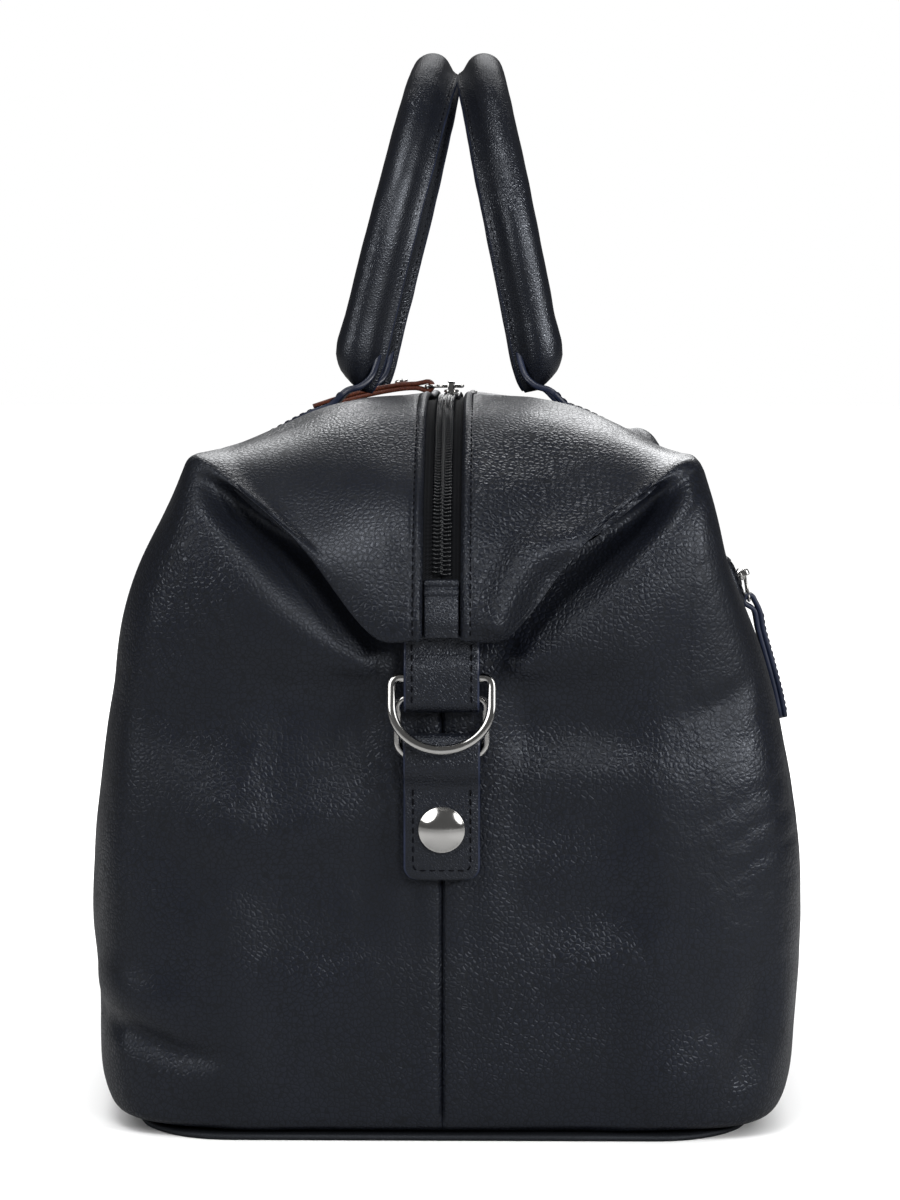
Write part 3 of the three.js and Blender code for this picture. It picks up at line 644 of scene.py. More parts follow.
# Value noise on a lattice, from -1 to 1, the same each run
noiseLook = {"tableSize": 4096, "primes": (73856093, 19349663, 83492791)}


def latticeNoise(points, cell, seed):
    size = noiseLook["tableSize"]
    forX, forY, forZ = noiseLook["primes"]
    table = np.random.default_rng(seed).random(size) * 2 - 1
    scaled = points / cell
    base = np.floor(scaled).astype(np.int64)
    part = scaled - base
    share = part**3 * (part * (part * 6 - 15) + 10)
    total = np.zeros(points.shape[:-1])
    for corner in range(8):
        offset = np.array([(corner >> k) & 1 for k in range(3)])
        at = base + offset
        key = (at[..., 0] * forX ^ at[..., 1] * forY ^ at[..., 2] * forZ) & (size - 1)
        total += table[key] * np.prod(np.where(offset == 1, share, 1 - share), axis=-1)
    return total


# Stitches along a run of points that has normals: each one dips in at both ends
thread = {
    "length": 2.7, "pitch": 3.5, "radius": 0.34, "proud": 0.06, "sides": 6,
    # place along a half stitch, share of the radius and dip, at each cut
    "cuts": [(-1.0, 0.35, -1.5), (-0.8, 0.85, -0.5), (-0.35, 1.0, 0.0),
             (0.35, 1.0, 0.0), (0.8, 0.85, -0.5), (1.0, 0.35, -1.5)],
}


def stitchMesh(run, normals, isLoop=False, sink=0.0, scale=1.0):
    run = np.asarray(run, dtype=float)
    normals = np.asarray(normals, dtype=float)
    if isLoop:
        run = np.vstack([run, run[:1]])
        normals = np.vstack([normals, normals[:1]])
    lengths = runLengths(run)
    count = max(int(lengths[-1] / (thread["pitch"] * scale)), 1)
    pitch = lengths[-1] / count
    half = thread["length"] * scale / 2
    at, thick, dip = np.array(thread["cuts"]).T
    centres = (np.arange(count) + 0.5) * pitch
    stops = (centres[:, None] + at * half).ravel()
    spots = between(stops, lengths, run)
    facing = unit(between(stops, lengths, normals))
    if count > 1:
        way = tangents(spots.reshape(count, -1, 3)[:, 2:4].mean(axis=1))
    else:
        way = unit(spots[-1:] - spots[:1])
    across = unit(np.cross(np.repeat(way, len(at), axis=0), facing))
    radius = thread["radius"] * scale
    rise = np.tile(thread["proud"] * scale + dip * radius - sink, count)
    rings = np.tile(thick * radius, count)[:, None, None]
    angles = circleAngles(thread["sides"])
    circle = across[:, None] * np.cos(angles)[None, :, None] + facing[:, None] * np.sin(angles)[None, :, None]
    points = (spots + facing * rise[:, None])[:, None] + circle * rings
    return points.reshape(-1, 3), manyTubes(count, len(at), thread["sides"])


# One turn of a zip's coil: how far its skin lies across, deep and along, at each cut and side
def coilTurn(course, swell, sides):
    slope = unit(np.gradient(course, axis=0))
    angles = circleAngles(sides)
    across = course[:, 0, None] - np.cos(angles) * slope[:, 1, None] * swell[:, None]
    depth = course[:, 1, None] + np.cos(angles) * slope[:, 0, None] * swell[:, None]
    return across, depth, np.sin(angles) * swell[:, None]


# Joins several bodies into one list of points and faces
def joined(*bodies):
    points = []
    faces = []
    first = 0
    for bodyPoints, bodyFaces in bodies:
        points.append(np.asarray(bodyPoints))
        faces += [[first + k for k in face] for face in bodyFaces]
        first += len(bodyPoints)
    return np.vstack(points), faces


# Body panels

wallRows = [                                           # half width, half length, corner, height
    (113, 227, 36, 2.7), (127.5, 233, 38, 6), (134, 235.5, 42, 18), (136, 236.5, 47, 42),
    (138.5, 236.5, 48, 85), (136, 236, 46, 130), (128, 234.5, 42, 170),
]
slotHalf = 7
tipHalf = 24                                           # where the flat tip of a level line ends
middleShare = 0.53                                     # place of the bow between tip and ear
foldRows = [                                           # seam, tip, ear, side, corner, bow, bow at ear
    ((0, -234, 181), (tipHalf, -234, 183), (102, -228, 250), (114, 0, 212), 34, (0, -3, -5), (3, -2, -3)),
    ((0, -229, 204), (tipHalf, -229, 207), (99.5, -224, 256), (105, 0, 231), 30, (0, 1, 0), (0, 7, -2)),
    ((slotHalf, -245, 193), (tipHalf, -243.5, 195), (97, -218.5, 259.5), (95, 0, 243), 28,
     (0, 0, 3), (0, 0, 3)),
    ((slotHalf, -249, 191), (25, -247.5, 192), (92.5, -217, 260.3), (88.5, 0, 250.5), 28,
     (0, -1, 3), (0, -2, 3)),
    ((slotHalf, -250, 195), (20, -249.5, 198), (83.5, -212, 261.5), (78, 0, 257.5), 28,
     (0, -3, 2), (0, -2, 0)),
    ((slotHalf, -250, 199), (12, -247.5, 207), (50, -190, 275), (46, 0, 273), 40, (0, -4.5, 0), (0, 1, 5)),
    ((slotHalf, -249, 203), (slotHalf, -245.5, 213), (slotHalf, -180, 281), (slotHalf, 0, 280), 50,
     (0, -5.7, -1.2), (0, 1.7, 8)),
]
stationAt = np.array([0, 0.1, 0.27, 0.42, 0.5, 0.58, 1])   # seam, tip, bow, three of the ear, side


def levelLine(seam, tip, ear, side, corner, bow, bowAtEar):
    seam, tip, ear, side = (np.array(point, dtype=float) for point in (seam, tip, ear, side))
    earIn = ear + unit(tip - ear) * corner + np.array(bowAtEar)
    earOut = ear + unit(side - ear) * corner
    earMiddle = 0.5 * ear + 0.25 * earIn + 0.25 * earOut
    middle = tip + (earIn - tip) * middleShare + np.array(bow)
    before = np.array([2 * seam[0] - tip[0], tip[1], tip[2]])
    after = earOut * np.array([1, -1, 1])
    return np.array([before, seam, tip, middle, earIn, earMiddle, earOut, side, after])


def wallLine(halfWidth, halfLength, corner, height):
    return levelLine((0, -halfLength, height), (tipHalf, -halfLength, height),
                     (halfWidth, -halfLength, height), (halfWidth, 0, height), corner, (0, 0, 0), (0, 0, 0))


levelLines = [wallLine(*row) for row in wallRows] + [levelLine(*row) for row in foldRows]
levelKnots = np.concatenate([[-stationAt[1]], stationAt, [2 - stationAt[-2]]])
lastLevel = len(levelLines) - 1


# The body's outer face before any creases, for lists of places round a quarter and of levels
def bodySurface(arounds, levels):
    lines = np.stack([hermite(levelKnots, line, arounds) for line in levelLines])
    whole = np.minimum(np.floor(levels).astype(int), lastLevel - 1)
    columns = []
    for i in range(len(arounds)):
        knots, allKnots, allPoints = curveKnots(lines[:, i])
        at = knots[whole] + (levels - whole) * (knots[whole + 1] - knots[whole])
        columns.append(hermite(allKnots, allPoints, at))
    return np.stack(columns)


# How finely the panels are drawn
panelLook = {
    "thickness": 2.0, "endStep": 1.8, "sideStep": 3.4, "rowStep": 1.95,
    # finer at the seam and at the slot
    "edgeSteps": (0, 0.4, 0.9, 1.5, 2.2, 3.0, 3.8, 4.6, 5.6, 6.8, 8.2, 10.0),
    # round a quarter: from, to, length and step of each stretch after the tip
    "stretches": [(0.1, 0.42, 78, "endStep"), (0.42, 0.58, 78, "endStep"), (0.58, 1.0, 190, "sideStep")],
    "leastRows": 3, "spareLevel": 3.501,
}
# What the leather does besides its main folds. A pair whose name ends in At is a centre and a width, and most
# others are a start or end and the span of its fade. Levels count the level lines from the base.
reliefLook = {
    "sag": [(120, 2.4, 3), (56, 1.7, 5), (27, 0.6, 7), (12, 0.10, 9)],   # cell, height and seed of each swell
    "quietTop": 0.15, "topFrom": (9.6, 1.0), "topEnds": (150, 40),       # swells left under the handles
    "leastSlack": 0.06, "slackMore": 0.25, "slackCell": 70, "slackSeed": 21,
    "endFace": 190, "sideFace": 92, "faceFade": 18, "sideEnds": (234, 28),
    "creaseGain": 1.5, "creaseFrom": 0.8, "creaseTo": (8.4, 1.6), "creaseTaper": 0.7, "creaseTip": 0.03,
    "creaseSlack": 0.5, "creaseSlackReach": 10,
    "lipFrom": (0.07, 0.07), "lipTo": (0.56, 0.1), "lipSwell": 4.8, "lipAt": (6.75, 0.5),
    "lipHollow": 2.2, "hollowAt": (5.75, 0.5),
    "earAt": (0.5, 0.05), "earSwell": 5.0, "earSwellAt": (8.4, 1.7),
    "earSlack": 0.5, "earSlackAt": (8.4, 2.0),
    "footFade": (1.5, 0.12), "slotFade": (0.6, 0.1),                     # levels, and the share left
    "topDip": 2.6, "dipAt": (-62, 22), "dipFrom": (10.2, 0.9), "dipEnd": (110, 50),
    "rollCalm": 0.75, "rollAt": (9.4, 0.9),
    "strapHalf": (31, 15), "strapFrom": (3.6, 0.5), "strapTo": (8.4, 0.4), "strapShare": 0.3,
    "flapFrom": 8.6, "edgeTurn": 1.4, "edgeReach": 1.5, "edgeBead": 0.45, "beadAt": (2.1, 1.2),
    "sewnAt": (4.0, 0.8), "edgeSharpness": 3,
    "seamTo": 8.0, "seamFrom": 0.5, "seamDip": 1.5, "seamAt": (0, 1.0), "seamSwell": 0.5,
    "seamSwellAt": (5, 4.0),
}
# The ears and the wing's roll, rounded off by averaging
earLook = {
    "rounds": 32, "earAt": (0.5, 0.045), "earFrom": (6.4, 0.9), "earTo": (12.2, 1.2),
    "rollSoftness": 0.8, "rollFrom": (7.7, 1.3), "rollTo": (11.8, 1.0),
    "rollStart": (0.2, 0.18), "rollEnd": (0.6, 0.1),
}
# Swells and creases as seen from one face of the bag: points across and up, width and height at the middle
creases = [
    ("near", [(-16, 139), (-40, 124), (-62, 117), (-78, 118), (-98, 128)], 11, 1.7),
    ("near", [(-18, 116), (-45, 100), (-75, 94), (-106, 106)], 14, -1.3),
    ("near", [(-20, 66), (-44, 60), (-70, 66)], 10, 1.0),
    ("near", [(-138, 47), (-122, 41), (-100, 33), (-78, 31)], 5, -2.6),
    ("near", [(-138, 60), (-116, 54), (-94, 48)], 9, 1.6),
    ("near", [(-118, 168), (-96, 150), (-70, 142)], 13, -1.4),
    ("near", [(24, 133), (46, 140), (74, 142)], 8, 1.2),
    ("near", [(20, 151), (50, 155), (84, 150)], 9, -1.1),
    ("near", [(24, 112), (48, 118), (72, 128)], 6, -0.7),
    ("near", [(36, 57), (56, 66), (76, 73)], 9, 1.4),
    ("near", [(30, 78), (56, 88), (84, 90)], 10, -1.1),
    ("near", [(70, 14), (90, 26), (106, 40)], 11, 1.9),
    ("near", [(110, 18), (116, 40), (119, 66)], 6, -2.2),
    ("near", [(126, 24), (128, 48), (127, 70)], 6, 1.4),
    ("near", [(137, 128), (118, 121), (100, 110)], 2.0, -0.25),
    ("near", [(137, 117), (119, 109), (104, 99)], 1.8, -0.30),
    ("near", [(137, 103), (122, 97), (110, 86)], 2.2, -0.22),
    ("near", [(135, 140), (112, 130), (90, 118)], 2.6, -0.25),
    ("near", [(118, 176), (104, 166), (88, 160)], 5, -0.9),
    ("near", [(28, 172), (52, 178), (80, 192)], 8, 0.9),
    ("near", [(-30, 170), (-54, 178), (-84, 196)], 8, 0.8),
    ("far", [(-18, 130), (-44, 118), (-74, 116), (-102, 130)], 12, 1.5),
    ("far", [(-22, 96), (-56, 88), (-96, 98)], 13, -1.3),
    ("far", [(138, 52), (118, 45), (92, 38)], 5, -2.4),
    ("far", [(26, 142), (54, 134), (88, 136)], 10, 1.2),
    ("far", [(34, 70), (62, 60), (92, 62)], 10, -1.2),
    ("far", [(-112, 22), (-118, 44), (-120, 70)], 6, -1.9),
    ("far", [(-84, 14), (-96, 28), (-104, 46)], 10, 1.6),
    ("front", [(-190, 60), (-130, 44), (-60, 40), (10, 46)], 12, -1.6),
    ("front", [(-150, 96), (-70, 84), (20, 86)], 16, 1.6),
    ("front", [(30, 120), (100, 104), (180, 112)], 15, -1.7),
    ("front", [(60, 58), (130, 48), (196, 58)], 10, -1.6),
    ("front", [(-196, 150), (-150, 138), (-100, 140)], 9, -1.3),
    ("back", [(-190, 64), (-120, 46), (-40, 42)], 11, -1.6),
    ("back", [(-160, 120), (-80, 104), (10, 106)], 16, 1.7),
    ("back", [(-40, 150), (60, 136), (150, 148)], 15, -1.7),
    ("back", [(40, 70), (110, 54), (190, 60)], 11, -1.6),
    ("back", [(120, 190), (160, 176), (196, 172)], 8, -1.2),
    ("back", [(20, 206), (150, 207), (290, 208)], 32, 4.6),
    ("front", [(-300, 222), (-190, 222), (-60, 220)], 24, -2.4),
    ("front", [(-330, 140), (-170, 140), (40, 138)], 46, -1.9),
]
# A ridge on a wing's face with a flat below it: the ridge's points, how far it stands out and how wide it is,
# how far its foot lies in and how far off
dents = [
    ("near", [(17.8, 189), (24.6, 213), (30, 222), (38, 227.5), (51.5, 230.5), (64, 235)],
     5.2, 6.5, 3.2, 14.0),
    ("far", [(16, 196), (27, 210), (44, 222), (62, 232), (80, 245)], 1.8, 9.0, 1.2, 15.0),
]
dentLook = {"from": (8.0, 0.9), "to": 12.9, "leastX": 8, "startFade": 0.12, "endFade": 0.45}


# Even steps with finer ones at the start, as shares of a length
def refinedSteps(length, step):
    fine = np.array(panelLook["edgeSteps"])
    rest = int(math.ceil((length - fine[-1]) / step))
    return np.concatenate([fine, np.linspace(fine[-1], length, rest + 1)[1:]]) / length


def panelSteps():
    arounds = [refinedSteps(tipHalf, panelLook["endStep"]) * stationAt[1]]
    for low, high, length, step in panelLook["stretches"]:
        count = int(math.ceil(length / panelLook[step]))
        arounds.append(np.linspace(low, high, count + 1)[1:])
    arounds = np.concatenate(arounds)
    sample = bodySurface(np.linspace(stationAt[1], 1, 10), np.arange(lastLevel + 1.0))
    spans = np.linalg.norm(np.diff(sample, axis=1), axis=2).max(axis=0)
    levels = [np.array([0.0])]
    for k, span in enumerate(spans[:-1]):
        count = max(int(math.ceil(span / panelLook["rowStep"])), panelLook["leastRows"])
        levels.append(np.linspace(k, k + 1, count + 1)[1:])
    levels.append(lastLevel - refinedSteps(spans[-1], panelLook["rowStep"])[::-1][1:])
    levels = np.concatenate(levels)
    if len(levels) % 2 == 0:                          # an even number of steps, for the coarser underside
        levels = np.sort(np.append(levels, panelLook["spareLevel"]))
    return arounds, levels


# How far points of a flat view lie from a line of points, how far along it, and on which side
def lineReach(flat, line):
    line = np.asarray(line, dtype=float)
    lengths = runLengths(line)
    best = np.full(len(flat), 1e9)
    along = np.zeros(len(flat))
    isRight = np.zeros(len(flat), dtype=bool)
    for k in range(len(line) - 1):
        span = line[k + 1] - line[k]
        away = flat - line[k]
        t = np.clip(away @ span / (span @ span), 0, 1)
        reach = np.linalg.norm(away - t[:, None] * span, axis=1)
        closer = reach < best
        best[closer] = reach[closer]
        along[closer] = (lengths[k] + t * (lengths[k + 1] - lengths[k]))[closer]
        isRight[closer] = (span[0] * away[:, 1] - span[1] * away[:, 0] < 0)[closer]
    return best, along / lengths[-1], isRight


def ease(values):
    values = np.clip(values, 0, 1)
    return values * values * (3 - 2 * values)


# From 0 to 1 past a start, or from 1 to 0 before an end, over a span
def rising(values, start, span):
    return ease((values - start) / span)


def falling(values, end, span):
    return ease((end - values) / span)


# A round swell about a centre
def hump(values, centre, width):
    return np.exp(-((values - centre) / width) ** 2)


# What is seen of points from one face of the bag: across and up, and which of them face that way
def seenFrom(face, flat):
    look = reliefLook
    x, y, z = flat.T
    across, ahead = {"near": (x, -y), "far": (-x, y), "front": (y, x), "back": (-y, -x)}[face]
    isEnd = face in ("near", "far")
    isSeen = rising(ahead, look["endFace"] if isEnd else look["sideFace"], look["faceFade"])
    if not isEnd:
        isSeen = isSeen * falling(np.abs(y), *look["sideEnds"])
    return np.stack([across, z], axis=1), isSeen


# Swells all over, calmer on top, and where the leather is slack by chance
def swellRelief(flat, heights):
    look = reliefLook
    relief = np.zeros(len(flat))
    for cell, height, seed in look["sag"]:
        relief += height * latticeNoise(flat, cell, seed)
    onTop = rising(heights, *look["topFrom"]) * falling(np.abs(flat[:, 1]), *look["topEnds"])
    relief *= 1 - (1 - look["quietTop"]) * onTop
    chance = np.clip(latticeNoise(flat, look["slackCell"], look["slackSeed"]), 0, 1)
    return relief, look["leastSlack"] + look["slackMore"] * chance


def addCreases(relief, slack, flat, heights):
    look = reliefLook
    tip = look["creaseTip"]
    onWall = (heights > look["creaseFrom"]) & (heights < look["creaseTo"][0])
    for face, line, width, height in creases:
        flatView, isSeen = seenFrom(face, flat)
        picked = np.flatnonzero((isSeen > 0) & onWall)
        reach, along, isRight = lineReach(flatView[picked], line)
        taper = np.sin(np.pi * np.clip(along, tip, 1 - tip)) ** look["creaseTaper"]
        shape = hump(reach, 0, width) * taper * isSeen[picked]
        shape = shape * falling(heights[picked], *look["creaseTo"])
        relief[picked] += look["creaseGain"] * height * shape
        slack[picked] += look["creaseSlack"] * hump(reach, 0, width + look["creaseSlackReach"]) * (height < 0)


# The lip under each wing with the hollow below it, and the fuller ears
def addLipAndEars(relief, slack, around, heights):
    look = reliefLook
    onLip = rising(around, *look["lipFrom"]) * falling(around, *look["lipTo"])
    relief += look["lipSwell"] * onLip * hump(heights, *look["lipAt"])
    relief -= look["lipHollow"] * onLip * hump(heights, *look["hollowAt"])
    nearEar = hump(around, *look["earAt"])
    relief += look["earSwell"] * nearEar * hump(heights, *look["earSwellAt"])
    slack += look["earSlack"] * nearEar * hump(heights, *look["earSlackAt"])
    return nearEar


# The turned edge along the zip's slot with its sewn line, and the seam down each end
def addEdges(relief, flat, heights):
    look = reliefLook
    onFlap = np.clip((heights - look["flapFrom"]) * look["edgeSharpness"], 0, 1)
    fromSlot = np.abs(flat[:, 0]) - slotHalf
    reach = look["edgeReach"]
    edge = np.where(fromSlot < reach, -look["edgeTurn"] * (1 - np.clip(fromSlot, 0, reach) / reach) ** 2, 0)
    edge += look["edgeBead"] * (hump(fromSlot, *look["beadAt"]) - hump(fromSlot, *look["sewnAt"]))
    relief += onFlap * edge
    onEnd = np.clip((look["seamTo"] - heights) * look["edgeSharpness"], 0, 1)
    onEnd = onEnd * np.clip(heights - look["seamFrom"], 0, 1)
    fromSeam = np.abs(flat[:, 0])
    dip = -look["seamDip"] * hump(fromSeam, *look["seamAt"])
    relief += onEnd * (dip + look["seamSwell"] * hump(fromSeam, *look["seamSwellAt"]))


# How far the leather stands off its main shape at each point, and how slack it is there
def leatherRelief(points, arounds, levels):
    look = reliefLook
    shape = points.shape[:2]
    flat = points.reshape(-1, 3)
    x, y, z = flat.T
    heights = np.broadcast_to(levels, shape).ravel()
    around = np.broadcast_to(arounds[:, None], shape).ravel()
    relief, slack = swellRelief(flat, heights)
    addCreases(relief, slack, flat, heights)
    nearEar = addLipAndEars(relief, slack, around, heights)
    footFade, footLeast = look["footFade"]
    slotFade, slotLeast = look["slotFade"]
    relief *= np.clip(heights / footFade, footLeast, 1)
    relief *= np.clip((lastLevel - heights) / slotFade, slotLeast, 1)
    onDip = rising(heights, *look["dipFrom"]) * rising(-y, *look["dipEnd"])
    relief -= look["topDip"] * hump(x, *look["dipAt"]) * onDip
    relief *= 1 - look["rollCalm"] * hump(heights, *look["rollAt"]) * (1 - nearEar)
    underStrap = falling(np.abs(x), *look["strapHalf"]) * rising(heights, *look["strapFrom"])
    underStrap = underStrap * falling(heights, *look["strapTo"])
    relief = relief * (1 - underStrap) + np.minimum(relief, 0.0) * underStrap * look["strapShare"]
    addEdges(relief, flat, heights)
    return relief.reshape(shape), np.clip(slack, 0, 1).reshape(shape)


# How far the ridges and the flats below them move the wings' faces along the bag
def dentPush(points, levels):
    look = dentLook
    flat = points.reshape(-1, 3)
    heights = np.broadcast_to(levels, points.shape[:2]).ravel()
    onWing = (heights > look["from"][0]) & (heights < look["to"])
    push = np.zeros(len(flat))
    for face, line, rise, width, sink, run in dents:
        flatView, isSeen = seenFrom(face, flat)
        picked = np.flatnonzero((isSeen > 0) & onWing & (flatView[:, 0] > look["leastX"]))
        reach, along, isRight = lineReach(flatView[picked], line)
        fade = ease(along / look["startFade"]) * ease((1 - along) / look["endFade"])
        fade = fade * rising(heights[picked], *look["from"])
        below = rise - (rise + sink) * ease(reach / run)
        outward = np.where(isRight, below, rise * hump(reach, 0, width))
        push[picked] += np.sign(flat[picked, 1]) * outward * fade
    return push.reshape(points.shape[:2])


# Rounds off the ears, where the folds of the wing run together, and the wing's roll beside them
def softenedEars(grid, arounds, levels):
    look = earLook
    place = arounds[:, None]
    weight = hump(place, *look["earAt"])
    weight = weight * rising(levels, *look["earFrom"]) * falling(levels, *look["earTo"])
    onRoll = rising(levels, *look["rollFrom"]) * falling(levels, *look["rollTo"])
    towardsEar = rising(place, *look["rollStart"]) * falling(place, *look["rollEnd"])
    weight = np.maximum(weight, look["rollSoftness"] * towardsEar * onRoll)
    weight[[0, -1]] = 0
    for k in range(look["rounds"]):
        average = (grid[:-2, 1:-1] + grid[2:, 1:-1] + grid[1:-1, :-2] + grid[1:-1, 2:]) / 4
        grid[1:-1, 1:-1] += (average - grid[1:-1, 1:-1]) * weight[1:-1, 1:-1, None]
    return grid


# A closed sheet under a grid of outer points, with an underside of every second point
def sheetMesh(outer, thickness):
    columns, rows = outer.shape[:2]
    normals = gridNormals(outer)
    inner = (outer - normals * thickness)[::2, ::2]
    limit = np.minimum(np.abs(outer[::2, ::2, 0]), slotHalf)
    side = np.sign(outer[columns // 2, 0, 0])
    inner[..., 0] = side * np.maximum(side * inner[..., 0], limit)
    innerColumns, innerRows = inner.shape[:2]
    first = columns * rows
    faces = gridFaces(columns, rows)
    faces += [face[::-1] for face in gridFaces(innerColumns, innerRows, first)]

    def rim(outerRun, innerRun):
        for k in range(len(innerRun) - 1):
            a, b, c = outerRun[2 * k: 2 * k + 3]
            d, e = innerRun[k: k + 2]
            faces.extend([[b, a, d], [b, d, e], [c, b, e]])
    top = np.arange(first).reshape(columns, rows)
    under = first + np.arange(innerColumns * innerRows).reshape(innerColumns, innerRows)
    rim(top[:, 0], under[:, 0])
    rim(top[::-1, -1], under[::-1, -1])
    rim(top[0, ::-1], under[0, ::-1])
    rim(top[-1], under[-1])
    return np.vstack([outer.reshape(-1, 3), inner.reshape(-1, 3)]), faces


def panelGrid(side):
    arounds, levels = panelSteps()
    near = bodySurface(arounds, levels)
    far = near[-2::-1] * np.array([1, -1, 1])
    around = np.concatenate([arounds, arounds[-2::-1]])
    grid = softenedEars(np.concatenate([near, far]), around, levels)
    normals = gridNormals(grid)
    if side < 0:
        grid = turnedHalf(grid)
        normals = turnedHalf(normals)
    relief, slack = leatherRelief(grid, around, levels)
    shaped = grid + normals * relief[..., None]
    shaped[..., 1] += dentPush(grid, levels)
    edge = np.abs(grid[..., 0])
    shaped[..., 0] = side * np.maximum(side * shaped[..., 0], np.minimum(edge, slotHalf))
    shaped[[0, -1], :, 0] = side * edge[[0, -1]]      # the panels meet in one seam
    return shaped, slack, levels


def buildPanel(name, side):
    grid, slack, levels = panelGrid(side)
    points, faces = sheetMesh(grid, panelLook["thickness"])
    allSlack = np.concatenate([slack.ravel(), slack[::2, ::2].ravel()])
    addPiece(name + "Panel", points, faces, navyLeather, "bag",
             (name + "_panel", name + "_heel"), slack=allSlack)
    return grid, levels


frontGrid, panelLevels = buildPanel("front", 1)
backGrid, panelLevels = buildPanel("back", -1)
print("panels ready", frontGrid.shape)


# Main zip: the line of its slot in Y and Z, from the near wing's tip over the ridge to the far one
zipLook = {
    "step": 0.5, "firstLevel": 10,
    "tapeDepth": 3.4, "tapeThick": 0.8, "tapeStart": 18.0, "tapeCuts": 280,
    # distance from the middle and depth of the tape's ribs
    "tapeRibs": [(0.2, 0.1), (1.5, 0.0), (3.2, 0.0), (4.2, 0.12), (5.4, 0.0), (6.8, -0.05), (8.2, 0.0),
                 (9.5, 0.05)],
    "toothPitch": 1.8, "toothRadius": 0.66, "toothSides": 6, "toothSqueeze": 0.98, "chainStart": 24.6,
    # distance from the middle, depth and share of the radius along one turn of the coil
    "toothTurn": [(-0.55, 1.9, 0.6), (0.0, 1.32, 1.0), (0.9, 1.85, 0.75), (2.1, 1.9, 0.75), (2.95, 1.4, 1.0),
                  (3.5, 2.3, 0.7)],
    "capStart": 1.0, "capEnd": 24.0, "capHalf": 6.5, "capDepth": 0.8, "capThick": 2.1, "capUnder": 0.985,
    "capShares": (0, 0.3, 0.6, 0.88, 0.97, 1),
    # height, distance from the top and width of the cap's rolls and sewn lines
    "capRolls": [(0.75, 1.6, 1.3), (-0.5, 3.6, 0.6), (0.3, 5.4, 1.0), (-0.45, 7.2, 0.5), (-0.9, 0, 0.5)],
    "capEdge": 0.9, "capEdgeFrom": 0.8, "capRipple": 0.16, "rippleCell": 3.2, "rippleSeed": 31,
    "leastDepth": 0.1,
    "stitchFromSlot": 3.6, "stitchFrom": 10.15, "stitchSmoothing": 9, "stitchApart": 0.25,
}


def makeZipRun():
    tip = bodySurface(np.array([0.0]), np.linspace(zipLook["firstLevel"], lastLevel, 80))[0]
    ridge = hermite(levelKnots, levelLines[lastLevel], np.linspace(0, 1, 400)[1:])
    near = np.vstack([tip, ridge])
    near[:, 0] = 0
    return evenRun(np.vstack([near, near[-2::-1] * np.array([1, -1, 1])]), zipLook["step"])


zipRun = makeZipRun()
zipAt = runLengths(zipRun)
zipLength = zipAt[-1]
zipWays = tangents(zipRun)


# Points beside the zip line: stops along it, distance across it, and depth below the leather's edge
def besideZip(stops, across, depth):
    stops, across, depth = np.broadcast_arrays(stops, across, depth)
    spot = between(stops, zipAt, zipRun)
    way = unit(between(stops, zipAt, zipWays))
    inward = np.cross(way, np.array([1.0, 0, 0]))
    return spot + inward * depth[..., None] + across[..., None] * np.array([1.0, 0, 0])


def buildZipTape(name, side, node):
    start = zipLook["tapeStart"]
    stops = np.linspace(start, zipLength - start, zipLook["tapeCuts"])
    across, rise = np.array(zipLook["tapeRibs"]).T
    acrossAll = side * np.concatenate([across, across[::-1]])
    depthAll = zipLook["tapeDepth"] + np.concatenate([rise, np.full(len(rise), zipLook["tapeThick"])])
    points = besideZip(stops[:, None], acrossAll[None, :], depthAll[None, :])
    lay = np.stack(np.broadcast_arrays(stops[:, None], acrossAll[None, :], 0.0), axis=-1)
    addPiece(name, points.reshape(-1, 3), tubeFaces(len(stops), len(acrossAll)), tapeCloth, "bag",
             (node,), sharp=50, lay=lay.reshape(-1, 3))


# One turn of the coil on each pitch, bulging at the middle where the two rows hook together
def buildZipChain():
    pitch = zipLook["toothPitch"]
    start = zipLook["chainStart"]
    sides = zipLook["toothSides"]
    count = int((zipLength - 2 * start) / pitch) - 1
    turn = np.array(zipLook["toothTurn"])
    across, depth, drift = coilTurn(turn[:, :2], turn[:, 2] * zipLook["toothRadius"], sides)
    bodies = []
    for side, shift in ((1, 0.0), (-1, 0.5)):
        stops = start + (np.arange(count) + 0.75 + shift) * pitch
        along = stops[:, None, None] + drift[None] * zipLook["toothSqueeze"]
        spots = besideZip(along, side * across[None], depth[None])
        bodies.append((spots.reshape(-1, 3), manyTubes(count, len(turn), sides)))
    points, faces = joined(*bodies)
    addPiece("zipCoil", points, faces, coilNylon, "bag", ("zip_chain",))


